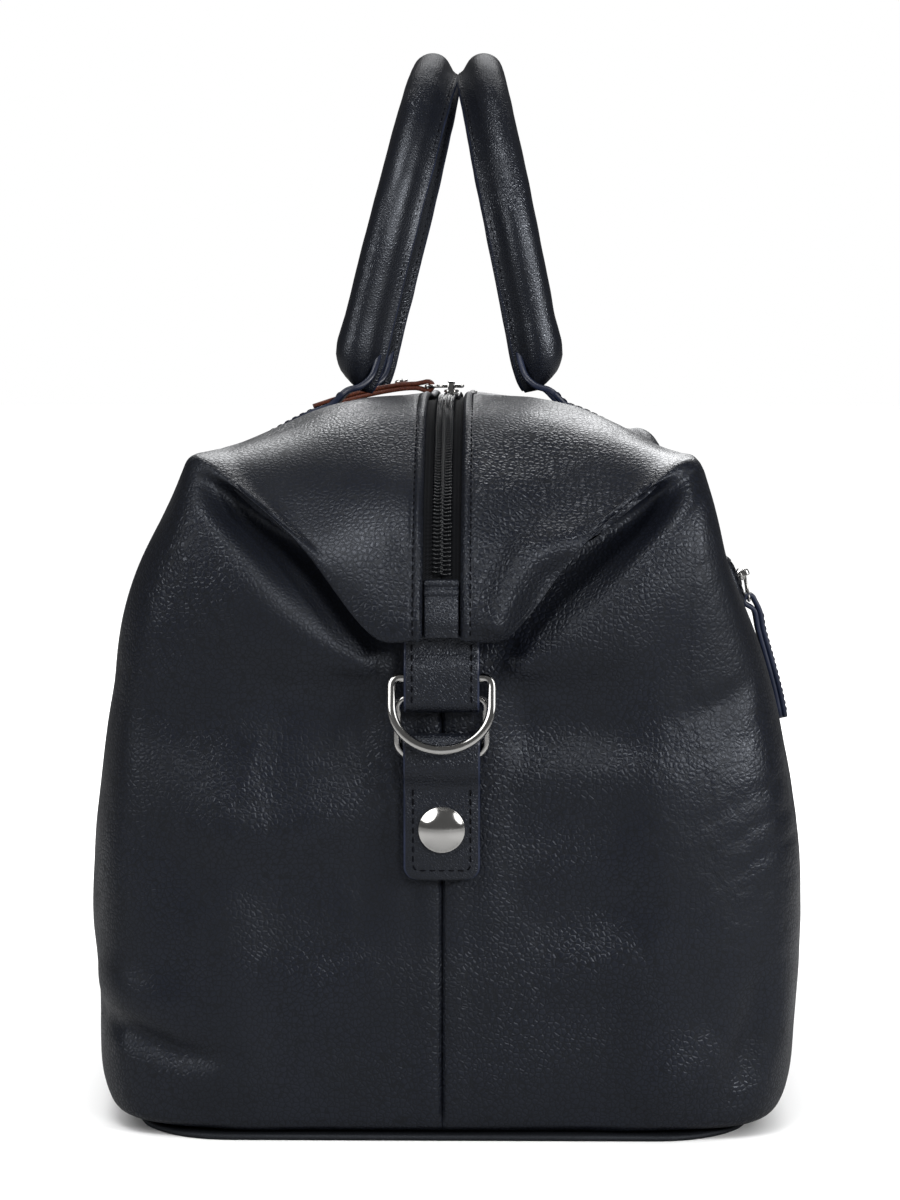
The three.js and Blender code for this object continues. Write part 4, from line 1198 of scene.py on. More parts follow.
# Leather end of the zip, with a rolled top edge and a sewn band below it
def buildZipCap(end):
    look = zipLook
    stops = np.linspace(look["capStart"], look["capEnd"], 60)
    shares = np.array(look["capShares"])
    across = look["capHalf"] * np.concatenate([-shares[:0:-1], shares])
    edge = np.abs(across / look["capHalf"])
    fromTop = look["capEnd"] - stops
    bulge = sum(height * hump(fromTop, centre, width) for height, centre, width in look["capRolls"])
    edgeTurn = np.clip((edge - look["capEdgeFrom"]) / (1 - look["capEdgeFrom"]), 0, 1)
    top = look["capDepth"] - bulge[:, None] + look["capEdge"] * edgeTurn[None, :] ** 2
    places = np.stack(np.broadcast_arrays(stops[:, None], across[None], 0.0), -1)
    ripple = look["capRipple"] * latticeNoise(places, look["rippleCell"], look["rippleSeed"])
    top = np.maximum(top + ripple, look["leastDepth"])
    under = np.full_like(top, look["capDepth"] + look["capThick"])
    depths = np.concatenate([top, under[:, ::-1]], axis=1)
    acrossAll = np.concatenate([across, across[::-1] * look["capUnder"]])
    points = besideZip(stops[:, None], acrossAll[None, :], depths).reshape(-1, 3)
    points = points if end == "near" else turnedHalf(points)
    addPiece("zipCap_" + end, points, tubeFaces(len(stops), len(acrossAll)), smoothNavyLeather,
             "bag", ("zip_cap_" + end,), sharp=60)


# The line of a panel where its distance from the bag's middle plane reaches a value, above the fold
def lineAcross(grid, reach, lowest):
    normals = gridNormals(grid)
    keep = panelLevels >= lowest
    far = np.abs(grid[:, keep, 0]) - reach
    spots = grid[:, keep]
    facing = normals[:, keep]
    found = []
    for axis in (0, 1):
        low = np.take(far, range(far.shape[axis] - 1), axis)
        high = np.take(far, range(1, far.shape[axis]), axis)
        hit = np.argwhere((low > 0) != (high > 0))
        for i, j in hit:
            other = (i + 1, j) if axis == 0 else (i, j + 1)
            t = far[i, j] / (far[i, j] - far[other])
            found.append(np.concatenate([spots[i, j] * (1 - t) + spots[other] * t,
                                         facing[i, j] * (1 - t) + facing[other] * t]))
    found = np.array(found)
    nearest = ((found[:, None, 1:3] - zipRun[None, ::4, 1:3]) ** 2).sum(axis=2).argmin(axis=1)
    order = np.lexsort((found[:, 1], nearest))
    line = found[order]
    gaps = np.linalg.norm(np.diff(line[:, :3], axis=0), axis=1)
    apart = np.concatenate([[True], gaps > zipLook["stitchApart"]])
    return line[apart, :3], unit(line[apart, 3:])


def buildZipStitches(name, grid):
    run, normals = lineAcross(grid, slotHalf + zipLook["stitchFromSlot"], zipLook["stitchFrom"])
    width = zipLook["stitchSmoothing"]
    kernel = np.ones(width) / width
    padded = np.pad(run, ((width // 2, width // 2), (0, 0)), mode="edge")
    soft = np.stack([np.convolve(padded[:, k], kernel, mode="valid") for k in range(3)], axis=1)
    points, faces = stitchMesh(soft, normals)
    addPiece(name, points, faces, navyThread)


buildZipTape("zipTapeFront", 1, "zip_tape_front")
buildZipTape("zipTapeBack", -1, "zip_tape_back")
buildZipChain()
for zipEnd in ("near", "far"):
    buildZipCap(zipEnd)
buildZipStitches("zipStitchFront", frontGrid)
buildZipStitches("zipStitchBack", backGrid)
print("zip ready")


# Straps and rings of an end, made for the near end and turned round for the far one
endLook = {
    "reach": 240.6, "strapHalf": 14.0, "strapThick": 2.0, "strapTop": 192.8, "strapBottom": 163.6,
    "tunnel": 2.6, "tabHalf": 14.25, "tabBottom": 101.0, "tabBack": 236.7, "tabThick": 4.4, "tabLoop": 2.4,
    "tabCorner": 5.0, "strapInset": 3.0, "tabInset": 3.6, "tabLeather": 2.0,
    "neckGap": 0.18, "neckDrops": (6, 13), "strapStep": 1.0, "tabStep": 0.8,
    "stitchProud": 0.12, "stitchCorner": 2.0, "tabStitchTop": 135.5, "strapStitch": (166.5, 190.5),
    "ringBend": 3.2, "ringStep": 1.0, "shoulderSides": 20, "keeperSides": 18,
    "shoulder": {"half": 18.5, "height": 27.5, "round": 17.0, "wire": 1.75, "bar": 176.5, "lean": -20.0},
    "keeper": {"half": 16.4, "height": 24.0, "round": 8.0, "wire": 1.5, "bar": 168.6, "lean": 0.0},
    "stud": {
        "radius": 8.7, "height": 4.6, "centre": 120.0, "gap": 0.35, "sides": 56,
        "domeHeight": 0.70, "domeRadius": 0.93,
        # shares of the radius and the height round the rim
        "rim": [(0.5, 0), (0.97, 0), (1, 0.06), (1, 0.18), (0.985, 0.24), (0.95, 0.27)],
    },
}


# Share of the half width, share of the half thickness and inset, round one cut through a strip
stripCut = [(-1, -0.62, 0), (-1, 0.62, 0), (-1, 0.92, 0.32), (-1, 1, 0.75)]
stripCut += [(share, 1, 0) for share in (-0.7, -0.35, 0, 0.35, 0.7)]
stripCut += [(1, 1, 0.75), (1, 0.92, 0.32), (1, 0.62, 0), (1, -0.62, 0), (1, -0.92, 0.32), (1, -1, 0.75)]
stripCut += [(share, -1, 0) for share in (0.7, 0.35, 0, -0.35, -0.7)]
stripCut += [(-1, -1, 0.75), (-1, -0.92, 0.32)]


# A flat strip along a path in Y and Z, with rounded painted edges. The path's left side is its face.
def stripMesh(path, halves, thick, doming=0.25):
    path = np.asarray(path, dtype=float)
    halves = np.broadcast_to(halves, len(path))
    way = tangents(path)
    face = np.stack([-way[:, 1], way[:, 0]], axis=1)
    sides = len(stripCut)
    points = np.zeros((len(path), sides, 3))
    for k, (share, rise, inset) in enumerate(stripCut):
        dome = doming * (1 - share * share) * (1 if rise > 0 else 0)
        points[:, k, 0] = share * halves - np.sign(share) * inset
        points[:, k, 1:] = path + face * (rise * thick / 2 + dome)
    onEdge = [abs(share) == 1 for share, rise, inset in stripCut]
    painted = [int(onEdge[k] and onEdge[(k + 1) % sides]) for k in range(sides)]
    finish = painted * (len(path) - 1) + [1, 1]
    return points.reshape(-1, 3), tubeFaces(len(path), sides), finish


def arcRun(centre, radius, fromDegrees, toDegrees, count):
    angles = np.radians(np.linspace(fromDegrees, toDegrees, count))
    return np.stack([centre[0] + radius * np.cos(angles), centre[1] + radius * np.sin(angles)], axis=1)


def strapPath():
    middle = -endLook["reach"]
    half = endLook["strapThick"] / 2
    radius = endLook["tunnel"] + half
    neck = half + endLook["neckGap"]
    bend = endLook["strapBottom"] + radius + half
    top = endLook["strapTop"]
    short, long = endLook["neckDrops"]
    down = [(middle + neck, top), (middle + neck, top - short), (middle + radius, top - long)]
    up = [(middle - radius, top - long), (middle - neck, top - short), (middle - neck, top)]
    loop = arcRun((middle, bend), radius, 0, -180, 15)
    return smoothRun(np.vstack([down, loop, up]), endLook["strapStep"])


def tabPath():
    middle = -endLook["reach"]
    keeper = endLook["keeper"]
    half = endLook["tabLeather"] / 2
    radius = endLook["tabLoop"] + half
    ringLow = keeper["bar"] - keeper["height"]
    front = -endLook["tabBack"] - endLook["tabThick"] + half
    back = -endLook["tabBack"] - half
    low = endLook["tabBottom"]
    up = [(front, low), (front, low + 12), (front, low + 24), (front, ringLow - 9),
          (middle - radius, ringLow - 2)]
    loop = arcRun((middle, ringLow + 10 - radius), radius, 180, 0, 15)
    down = [(middle + radius, ringLow - 2), (back, ringLow - 7), (back, low + 24), (back, low + 12),
            (back, low)]
    return smoothRun(np.vstack([up, loop, down]), endLook["tabStep"])


def roundedHalves(path, half, corner, ends):
    run = runLengths(path)
    halves = np.full(len(path), half)
    for fromEnd in ([run] if "start" in ends else []) + ([run[-1] - run] if "end" in ends else []):
        inside = np.clip(corner - fromEnd, 0, corner)
        halves = np.minimum(halves, half - corner + np.sqrt(np.maximum(corner**2 - inside**2, 0)))
    return halves


# A D-ring hanging from its flat bar, which lies along X
def ringPoints(look, sides):
    bend = endLook["ringBend"]
    half, height, roundness = look["half"], look["height"], look["round"]
    turn = np.radians(np.linspace(0, -180, 40))
    outline = np.vstack([
        arcRun((bend - half, -bend), bend, 180, 90, 8),
        arcRun((half - bend, -bend), bend, 90, 0, 8),
        np.stack([half * np.cos(turn), roundness - height + roundness * np.sin(turn)], axis=1),
    ])
    outline = evenRun(np.vstack([outline, outline[:1]]), endLook["ringStep"])[:-1]
    path = np.stack([outline[:, 0], np.zeros(len(outline)), outline[:, 1]], axis=1)
    points = wirePoints(path, look["wire"], sides, np.array([0, 1.0, 0]))
    lean = math.radians(look["lean"])
    turned = points.copy()
    turned[:, 1] = points[:, 1] * math.cos(lean) - points[:, 2] * math.sin(lean)
    turned[:, 2] = points[:, 1] * math.sin(lean) + points[:, 2] * math.cos(lean)
    turned += np.array([0, -endLook["reach"], look["bar"]])
    return turned, tubeFaces(len(path), sides, True)


# A turned piece from radius and height pairs, about an axis through a foot point
def lathe(profile, foot, axis, segments):
    profile = np.asarray(profile, dtype=float)
    axis = unit(np.asarray(axis, dtype=float))
    first = unit(np.cross(axis, np.array([1.0, 0.3, 0.2])))
    second = np.cross(axis, first)
    angles = circleAngles(segments)
    ring = np.cos(angles)[:, None] * first + np.sin(angles)[:, None] * second
    points = np.asarray(foot) + profile[:, 0, None, None] * ring[None] + profile[:, 1, None, None] * axis
    return points.reshape(-1, 3), tubeFaces(len(profile), segments)


def buildRingStrap(end, place):
    points, faces, finish = stripMesh(strapPath()[::-1], endLook["strapHalf"], endLook["strapThick"])
    addPiece("ringStrap_" + end, place(points), faces, [smoothNavyLeather, edgePaint], "bag",
             ("ring_strap_" + end,), finish)


def buildSnapTab(end, place):
    path = tabPath()
    halves = roundedHalves(path, endLook["tabHalf"], endLook["tabCorner"], ("start", "end"))
    points, faces, finish = stripMesh(path, halves, endLook["tabLeather"])
    addPiece("snapTab_" + end, place(points), faces, [smoothNavyLeather, edgePaint], "bag",
             ("snap_tab_" + end,), finish)


# A line round the tab's foot, and one down each side of the strap
def buildStrapStitches(end, place):
    look = endLook
    inset = look["tabHalf"] - look["tabInset"]
    low = look["tabBottom"] + look["tabInset"]
    corner = look["stitchCorner"]
    border = evenRun(np.vstack([
        [(-inset, look["tabStitchTop"])], arcRun((-inset + corner, low + corner), corner, 180, 270, 5),
        arcRun((inset - corner, low + corner), corner, 270, 360, 5), [(inset, look["tabStitchTop"])]]), 0.5)
    frontY = -look["tabBack"] - look["tabThick"] - look["stitchProud"]
    border = np.stack([border[:, 0], np.full(len(border), frontY), border[:, 1]], axis=1)
    bodies = [stitchMesh(border, np.broadcast_to([0, -1.0, 0], border.shape))]

    path = strapPath()
    bottom, top = look["strapStitch"]
    front = path[path[:, 0] < -look["reach"]]
    front = front[(front[:, 1] > bottom) & (front[:, 1] < top)]
    slope = tangents(front)
    upward = np.sign(slope[:, 1]) * slope[:, 0]
    facing = np.stack([np.zeros(len(front)), -np.abs(slope[:, 1]), upward], axis=1)
    lift = look["strapThick"] / 2 + look["stitchProud"]
    for side in (-1, 1):
        x = side * (look["strapHalf"] - look["strapInset"])
        run = np.stack([np.full(len(front), x), front[:, 0], front[:, 1]], axis=1) + facing * lift
        bodies.append(stitchMesh(run, facing))
    points, faces = joined(*bodies)
    addPiece("strapStitch_" + end, place(points), faces, navyThread)


def buildRings(end, place):
    points, faces = ringPoints(endLook["shoulder"], endLook["shoulderSides"])
    addPiece("shoulderRing_" + end, place(points), faces, nickel, "ring_" + end,
             ("shoulder_ring_" + end,))
    points, faces = ringPoints(endLook["keeper"], endLook["keeperSides"])
    addPiece("keeperRing_" + end, place(points), faces, nickel, "bag", ("keeper_ring_" + end,))


# A domed stud with a rolled rim
def buildStud(end, place):
    stud = endLook["stud"]
    r, h = stud["radius"], stud["height"]
    capHeight, capRadius = stud["domeHeight"] * h, stud["domeRadius"] * r
    ball = (capRadius**2 + capHeight**2) / (2 * capHeight)
    reaches = capRadius * np.linspace(1, 0.04, 16)
    profile = [(a * r, b * h) for a, b in stud["rim"]]
    profile += [(a, h - ball + math.sqrt(ball**2 - a * a)) for a in reaches] + [(0.02 * r, h)]
    foot = (0, -endLook["tabBack"] - endLook["tabThick"] - stud["gap"], stud["centre"])
    points, faces = lathe(profile, foot, (0, -1, 0), stud["sides"])
    addPiece("snapStud_" + end, place(points), faces, nickel, "bag", ("snap_cap_" + end,), sharp=75)


def buildEnd(end):
    place = unmoved if end == "near" else turnedHalf
    buildRingStrap(end, place)
    buildSnapTab(end, place)
    buildStrapStitches(end, place)
    buildRings(end, place)
    buildStud(end, place)


for bagEnd in ("near", "far"):
    buildEnd(bagEnd)
print("straps and rings ready")


frontNormals = gridNormals(frontGrid)


# The line where the front panel meets a plane across the bag: points and outward normals, row by row
def crossLine(y, lowest, highest):
    rows = np.flatnonzero((panelLevels >= lowest) & (panelLevels <= highest))
    line = []
    for j in rows:
        order = np.argsort(frontGrid[:, j, 1], kind="stable")
        both = np.concatenate([frontGrid[order, j], frontNormals[order, j]], axis=1)
        line.append(between(y, both[:, 1], both))
    line = np.array(line)
    return line[:, :3], unit(line[:, 3:])


def pickOnLine(points, normals, axis, value):
    order = np.argsort(points[:, axis])
    both = np.concatenate([points[order], normals[order]], axis=1)
    found = between(value, both[:, axis], both)
    return found[..., :3], unit(found[..., 3:])


# Rolled handles: a round core whose leather comes to a sewn edge on the inner side, with flat sewn ends
handleLook = {
    "halfSpan": 72.6, "spring": 334.0, "top": 421.6, "footX": 39.5, "footZ": 288.0, "rise": 133.0,
    "low": 282.5, "legCuts": 26, "archCuts": 121,
    "frontTopX": 12.6, "backTopX": 6.5,
    # distance from an end, with the core's radius, its shift outwards and the sewn edge's reach there
    "cuts": [(0, 2.2, -5.2, 8.6), (1.2, 3.6, -4.0, 9.2), (3.5, 5.4, -2.2, 10.0), (7, 7.4, 0.0, 10.6),
             (12, 8.8, 1.4, 11.0), (18, 9.2, 1.9, 11.0), (30, 8.5, 1.9, 10.8)],
    "edgeHalf": 1.5, "openHalf": 140, "roundCuts": 25,
    "ripples": [(0.16, 9, 41), (0.25, 34, 43)], "rippleFrom": 10,        # height, cell and seed
    "stitchAt": 8.6, "stitchSide": 1.22, "stitchSink": 0.05, "stitchFrom": 7,
    "tabY": 72.0, "tabHalf": 13.0, "tabThick": 2.6, "tabInset": 3.0, "tabCorner": 9.0, "tabReach": 87.0,
    "tabLift": 0.5, "tabLies": (80, 72, 64, 56, 49), "tabDoming": 0.1,
    "tabStitchProud": 0.12, "tabStitchTo": 281.0,
    # how the tab leaves the bag and goes up into the roll, in X and Z, and how it narrows there
    "tabRises": [(43.0, 281.6), (37.0, 283.6), (32.6, 287.6), (30.4, 293.5), (29.2, 300.0)],
    "narrowFrom": 280.5, "narrowOver": 19.0, "narrowHalf": 1.9, "tabFacing": (0.33, 0, 0.94),
    "tabLevels": (9.5, 12.9),
}


def handleCourse(topX):
    look = handleLook
    slope = (look["footX"] - topX) / look["rise"]
    legs = np.linspace(look["low"], look["spring"], look["legCuts"])[:-1]
    leg = np.stack([np.full(len(legs), -look["halfSpan"]), legs], axis=1)
    turn = np.radians(np.linspace(0, 180, look["archCuts"]))
    arch = np.stack([-look["halfSpan"] * np.cos(turn),
                     look["spring"] + (look["top"] - look["spring"]) * np.sin(turn)], axis=1)
    flat = np.vstack([leg, arch, leg[::-1] * np.array([-1, 1])])
    x = look["footX"] - (flat[:, 1] - look["footZ"]) * slope
    course = np.stack([x, flat[:, 0], flat[:, 1]], axis=1)
    run = tangents(course)
    facing = unit(np.array([1, 0, slope]))
    across = unit(np.cross(np.broadcast_to(facing, course.shape), run))
    return course, np.cross(run, across), across


# The outline of one cut through the handle: outward, then across
def handleCut(core, shift, edgeReach):
    half = handleLook["edgeHalf"]
    reach = handleLook["openHalf"]
    turn = np.radians(np.linspace(-reach, reach, handleLook["roundCuts"]))
    ring = np.stack([shift + core * np.cos(turn), core * np.sin(turn)], axis=1)
    outward, across = ring[-1]
    lip = np.array([
        (outward * 0.45 - edgeReach * 0.55 + 1.2, across * 0.42 + half * 0.5),
        (-edgeReach + 1.6, half * 1.12), (-edgeReach + 0.5, half), (-edgeReach, half * 0.6)])
    return np.vstack([ring, lip, (lip * np.array([1, -1]))[::-1]])


def buildHandleRoll(name, node, course, outward, across, fromEnd, place):
    look = handleLook
    cuts = np.array(look["cuts"])
    core, shift, reach = between(fromEnd, cuts[:, 0], cuts[:, 1:]).T
    sections = []
    for k in range(len(course)):
        cut = handleCut(core[k], shift[k], reach[k])
        sections.append(course[k] + cut[:, :1] * outward[k] + cut[:, 1:] * across[k])
    sections = np.array(sections)
    sides = sections.shape[1]
    ripple = sum(height * latticeNoise(sections, cell, seed) for height, cell, seed in look["ripples"])
    ripple = ripple * np.clip(fromEnd / look["rippleFrom"], 0, 1)[:, None]
    middle = course[:, None] + outward[:, None] * shift[:, None, None]
    sections = sections + unit(sections - middle) * ripple[..., None]
    rawEdge = range(look["roundCuts"] + 2, look["roundCuts"] + 5)     # the faces round the sewn edge's end
    finish = [int(k in rawEdge) for k in range(sides)] * (len(course) - 1) + [0, 0]
    piece = addPiece(name, place(sections.reshape(-1, 3)), tubeFaces(len(course), sides),
                     [handleLeather, edgePaint], "bag", (node,), finish)


def handleTabPath():
    look = handleLook
    surface = crossLine(-look["tabY"], *look["tabLevels"])
    reaches = np.array([look["tabReach"], *look["tabLies"]])
    spots, facing = pickOnLine(*surface, 0, reaches)
    lying = spots + facing * (look["tabLift"] + look["tabThick"] / 2)
    return smoothRun(np.vstack([lying[:, [0, 2]], look["tabRises"]]), 1.0)


# The two sewn ends of a handle, flat on the bag and narrowing as they go up into the roll
def buildHandleTabs(name, path, place):
    look = handleLook
    halves = roundedHalves(path, look["tabHalf"], look["tabCorner"], ("start",))
    up = np.clip((path[:, 1] - look["narrowFrom"]) / look["narrowOver"], 0, 1)
    halves = halves * (1 - up) + np.minimum(halves, look["narrowHalf"]) * up
    points, faces, finish = stripMesh(path[::-1], halves[::-1], look["tabThick"], look["tabDoming"])
    points = points[:, [1, 0, 2]]
    for mark, end in (("A", -1), ("B", 1)):
        shifted = points * np.array([1, end, 1]) + np.array([0, end * look["tabY"], 0])
        addPiece(name + "Tab" + mark, place(shifted), faces, [smoothNavyLeather, edgePaint],
                 "bag", (), finish)


# A stitched border round the flat of one sewn end
def handleTabStitches(path, end):
    look = handleLook
    inset = look["tabInset"]
    isFlat = path[:, 1] < look["tabStitchTo"]
    inner = roundedHalves(path, look["tabHalf"] - inset, look["tabCorner"] - inset, ("start",))[isFlat]
    flat = path[isFlat]
    way = tangents(flat)
    top = flat + np.stack([way[:, 1], -way[:, 0]], axis=1) * (look["tabThick"] / 2 + look["tabStitchProud"])
    if top[0, 1] < flat[0, 1]:
        top = 2 * flat - top
    begin = int(np.argmax(flat[:, 0] < look["tabReach"] - inset))
    left, right = (
        np.stack([top[begin:, 0], side * inner[begin:] + end * look["tabY"], top[begin:, 1]], axis=1)
        for side in (-1, 1))
    border = evenRun(np.vstack([left[::-1], right]), 0.5)
    return stitchMesh(border, np.broadcast_to(unit(np.array(look["tabFacing"])), border.shape))


def buildHandle(name, node, topX, place):
    look = handleLook
    course, outward, across = handleCourse(topX)
    run = runLengths(course)
    fromEnd = np.minimum(run, run[-1] - run)
    buildHandleRoll(name, node, course, outward, across, fromEnd, place)
    bodies = []
    isSewn = fromEnd > look["stitchFrom"]
    for side in (-1, 1):
        spot = course - outward * look["stitchAt"] + across * side * (look["edgeHalf"] * look["stitchSide"])
        bodies.append(stitchMesh(spot[isSewn], (across * side)[isSewn], sink=look["stitchSink"]))
    path = handleTabPath()
    buildHandleTabs(name, path, place)
    bodies += [handleTabStitches(path, end) for end in (-1, 1)]
    points, faces = joined(*bodies)
    addPiece(name + "Stitch", place(points), faces, navyThread)


buildHandle("frontHandle", "handle_front", handleLook["frontTopX"], unmoved)
buildHandle("backHandle", "handle_back", handleLook["backTopX"], turnedHalf)
print("handles ready")


# Sliders, links and pulls. Each is drawn with the zip along Y and its pull lying towards -X.
pullLook = {
    "sliderLift": 279.35, "spacing": 21.0, "bailLift": 4.1, "linkWire": 0.75, "linkReach": 10.8,
    "half": 4.9, "layer": 1.9, "loop": 2.2, "tipCorner": 3.4,
    "line": [(-10.8, 283.45), (-14.5, 283.6), (-22, 283.2), (-34, 281.2), (-48, 277.8), (-61, 273.6)],
    "rivetAt": (-22, 283.2), "rivetRadius": 2.6, "rivetHeight": 1.2, "rivetAxis": (-2.8, 0, 15.0),
    "rivetLift": 0.3, "rivetSides": 28,
    # shares of the rivet's radius and height over its rim
    "rivetCap": [(1, 0.25), (0.9, 0.6), (0.62, 0.9), (0.02, 1)],
    "doming": 0.12, "step": 0.7, "layerGap": 0.04, "loopFade": 5.0,
    "stitchProud": 0.12, "stitchInset": 1.5, "stitchScale": 0.7, "stitchFrom": 6, "stitchTo": 2,
    # the link's outline on one side, from the bail to the pull's bar
    "linkHalf": [(4.9, 0.6), (4.6, 1.5), (-4.2, 1.5), (-7.6, 5.7), (-9.4, 6.3), (-11.0, 5.9)],
    "linkStep": 0.5, "linkSides": 12, "linkSoftening": 3,
}
sliderLook = {
    "halfLength": 6.4, "halfWidth": 3.05, "widening": 0.45, "lengthPower": 0.55, "widthPower": 0.5,
    # share of the outline and height of each ring, with a groove where the two plates part
    "rings": [(0.96, 0.0), (1.0, 0.25), (1.0, 0.9), (0.86, 1.05), (0.86, 1.35), (1.0, 1.5), (1.0, 2.15),
              (0.95, 2.42), (0.85, 2.52)],
    "bail": [(-4.3, 2.2), (-4.1, 4.0), (-3.4, 5.5), (-1.8, 6.15), (0, 6.2), (1.8, 6.15), (3.4, 5.5),
             (4.1, 4.0), (4.3, 2.2)],
    "bailStep": 0.4, "bailHalf": 1.35, "bailThick": 0.9, "bailDoming": 0.05,
}


def sliderMesh():
    look = sliderLook
    turn = np.radians(np.arange(0, 360, 10))
    length = look["halfLength"]
    y = length * np.sign(np.sin(turn)) * np.abs(np.sin(turn)) ** look["lengthPower"]
    wide = look["halfWidth"] + look["widening"] * np.clip(y / length, -1, 1)
    x = wide * np.sign(np.cos(turn)) * np.abs(np.cos(turn)) ** look["widthPower"]
    rings = [np.stack([x * scale, y * (0.5 + 0.5 * scale), np.full(len(x), z)], axis=1)
             for scale, z in look["rings"]]
    body = (np.vstack(rings), tubeFaces(len(rings), len(x)))
    bail = smoothRun(look["bail"], look["bailStep"])
    points, faces, finish = stripMesh(bail, look["bailHalf"], look["bailThick"], look["bailDoming"])
    return joined(body, (points, faces))


# Cuts the corners of a closed outline
def softened(outline, times):
    points = np.asarray(outline, dtype=float)
    for k in range(times):
        ahead = np.roll(points, -1, axis=0)
        points = np.stack([points * 0.75 + ahead * 0.25, points * 0.25 + ahead * 0.75], axis=1).reshape(-1, 2)
    return points


def linkMesh():
    look = pullLook
    half = look["linkHalf"]
    outline = softened(half + [(x, -y) for x, y in half[::-1]], look["linkSoftening"])
    outline = evenRun(np.vstack([outline, outline[:1]]), look["linkStep"])[:-1]
    path = np.concatenate([outline, np.zeros((len(outline), 1))], axis=1)
    points = wirePoints(path, look["linkWire"], look["linkSides"], np.array([0, 0, 1.0]))
    return points, tubeFaces(len(path), look["linkSides"], True)


# A strap folded round the link's bar, as a path of its two layers in X and Z
def pullPath(line):
    line = smoothRun(line, 1.0)
    way = tangents(line)
    side = np.stack([-way[:, 1], way[:, 0]], axis=1)
    gap = pullLook["layer"] / 2 + pullLook["layerGap"]
    run = np.linalg.norm(line - line[0], axis=1)
    spread = gap + (pullLook["loop"] - gap) * np.clip(1 - run / pullLook["loopFade"], 0, 1) ** 1.5
    one = line + side * spread[:, None]
    two = line - side * spread[:, None]
    back = -way[0]
    start = math.atan2(side[0, 1], side[0, 0])
    middle = math.atan2(back[1], back[0])
    turn = (middle - start + math.pi) % (2 * math.pi) - math.pi
    angles = np.linspace(start, start + 2 * turn, 13)[1:-1]
    loop = line[0] + pullLook["loop"] * np.stack([np.cos(angles), np.sin(angles)], axis=1)
    return np.vstack([one[::-1], loop, two])


def pullMesh(line, y):
    look = pullLook
    path = evenRun(pullPath(line), look["step"])
    halves = roundedHalves(path, look["half"], look["tipCorner"], ("start", "end"))
    points, faces, finish = stripMesh(path, halves, look["layer"], look["doming"])
    return points[:, [1, 0, 2]] + np.array([0, y, 0]), faces, finish


def pullStitches(line, y, upward):
    look = pullLook
    run = smoothRun(line, 0.5)
    way = tangents(run)
    side = np.stack([-way[:, 1], way[:, 0]], axis=1)
    if (side.mean(axis=0) @ np.array(upward)) < 0:
        side = -side
    away = np.linalg.norm(run - run[0], axis=1)
    isSewn = (away > look["stitchFrom"]) & (away < away[-1] - look["stitchTo"])
    side = side[isSewn]
    top = run[isSewn] + side * (look["layer"] + look["stitchProud"])
    facing = np.stack([side[:, 0], np.zeros(len(top)), side[:, 1]], axis=1)
    bodies = []
    for edge in (-1, 1):
        atY = y + edge * (look["half"] - look["stitchInset"])
        spot = np.stack([top[:, 0], np.full(len(top), atY), top[:, 1]], axis=1)
        bodies.append(stitchMesh(spot, facing, scale=look["stitchScale"]))
    return bodies


def buildMainPull(end, y):
    look = pullLook
    lift = look["sliderLift"]
    points, faces = sliderMesh()
    turn = np.array([1, 1 if end == "near" else -1, 1])
    addPiece("zipSlider_" + end, points * turn + np.array([0, y, lift]), faces, nickel, "bag",
             ("zip_slider_" + end,), sharp=50)
    points, faces = linkMesh()
    addPiece("pullLink_" + end, points + np.array([0, y, lift + look["bailLift"]]), faces, nickel,
             "bag", ("pull_link_" + end,))
    points, faces, finish = pullMesh(look["line"], y)
    addPiece("pullStrap_" + end, points, faces, [brownLeather, brownLeather], "bag",
             ("pull_tab_" + end,), finish)
    x, z = look["rivetAt"]
    axis = unit(np.array(look["rivetAxis"]))
    r, h = look["rivetRadius"], look["rivetHeight"]
    sunk = -look["rivetLift"]
    profile = [(0.4 * r, sunk), (r, sunk)] + [(a * r, b * h) for a, b in look["rivetCap"]]
    foot = np.array([x, y, z]) + axis * (look["layer"] + look["rivetLift"])
    points, faces = lathe(profile, foot, axis, look["rivetSides"])
    addPiece("pullRivet_" + end, points, faces, nickel, "bag", ("pull_rivet_" + end,))


buildMainPull("near", -pullLook["spacing"] / 2)
buildMainPull("far", pullLook["spacing"] / 2)
print("zip pulls ready")


# Zip pocket on the +X side
pocketLook = {
    # the side that the pocket lies on: its reach in Y, heights and levels, and the table's counts
    "sideReach": 170, "sideHeights": (140, 236), "sideLevels": (4.0, 9.2), "sideCounts": (86, 49),
    "height": 206.0, "tapeHalf": 7.0, "tapeLift": 1.0, "tapeThick": 0.8, "tapeSunk": 0.6, "tapeCuts": 150,
    "tapeRibs": 9, "endGap": 1.0,
    "coilLift": 1.7, "coilGap": 4, "pitch": 1.4, "radius": 0.5, "toothSides": 6,
    # distance from the middle, lift and share of the radius along one turn of the coil
    "toothTurn": [(-0.45, 0.95, 0.75), (0.1, 1.1, 1.1), (0.9, 1.0, 0.85), (1.9, 1.0, 0.86),
                  (2.65, 0.75, 0.95), (2.95, 0.1, 0.8)],
    "weltHalf": 6.9, "weltCorner": 4.0, "weltPast": 1.5, "weltStep": 2.0,
    # distance from the welt's line and lift, round one cut
    "weltCut": [(-2.9, 1.75), (-2.75, 2.3), (-2.2, 2.6), (-1.2, 2.45), (0.6, 1.75), (1.9, 1.35), (2.5, 1.0),
                (2.7, 0.3), (2.4, -0.6), (-2.6, 1.1)],
    "weltStitchAt": 0.5, "weltStitchLift": 1.86,
    "sliderScale": 0.78, "sliderLift": 2.3, "linkLean": 13.0, "linkSlip": 2.6,
    # the pull hangs by these drops, lying off the leather by a lift that falls to a least, then leans out
    "pullDrops": (4, 12, 24, 37, 48), "pullLift": 5.4, "pullFall": 0.2, "pullLeast": 2.6, "pullLean": 0.085,
}
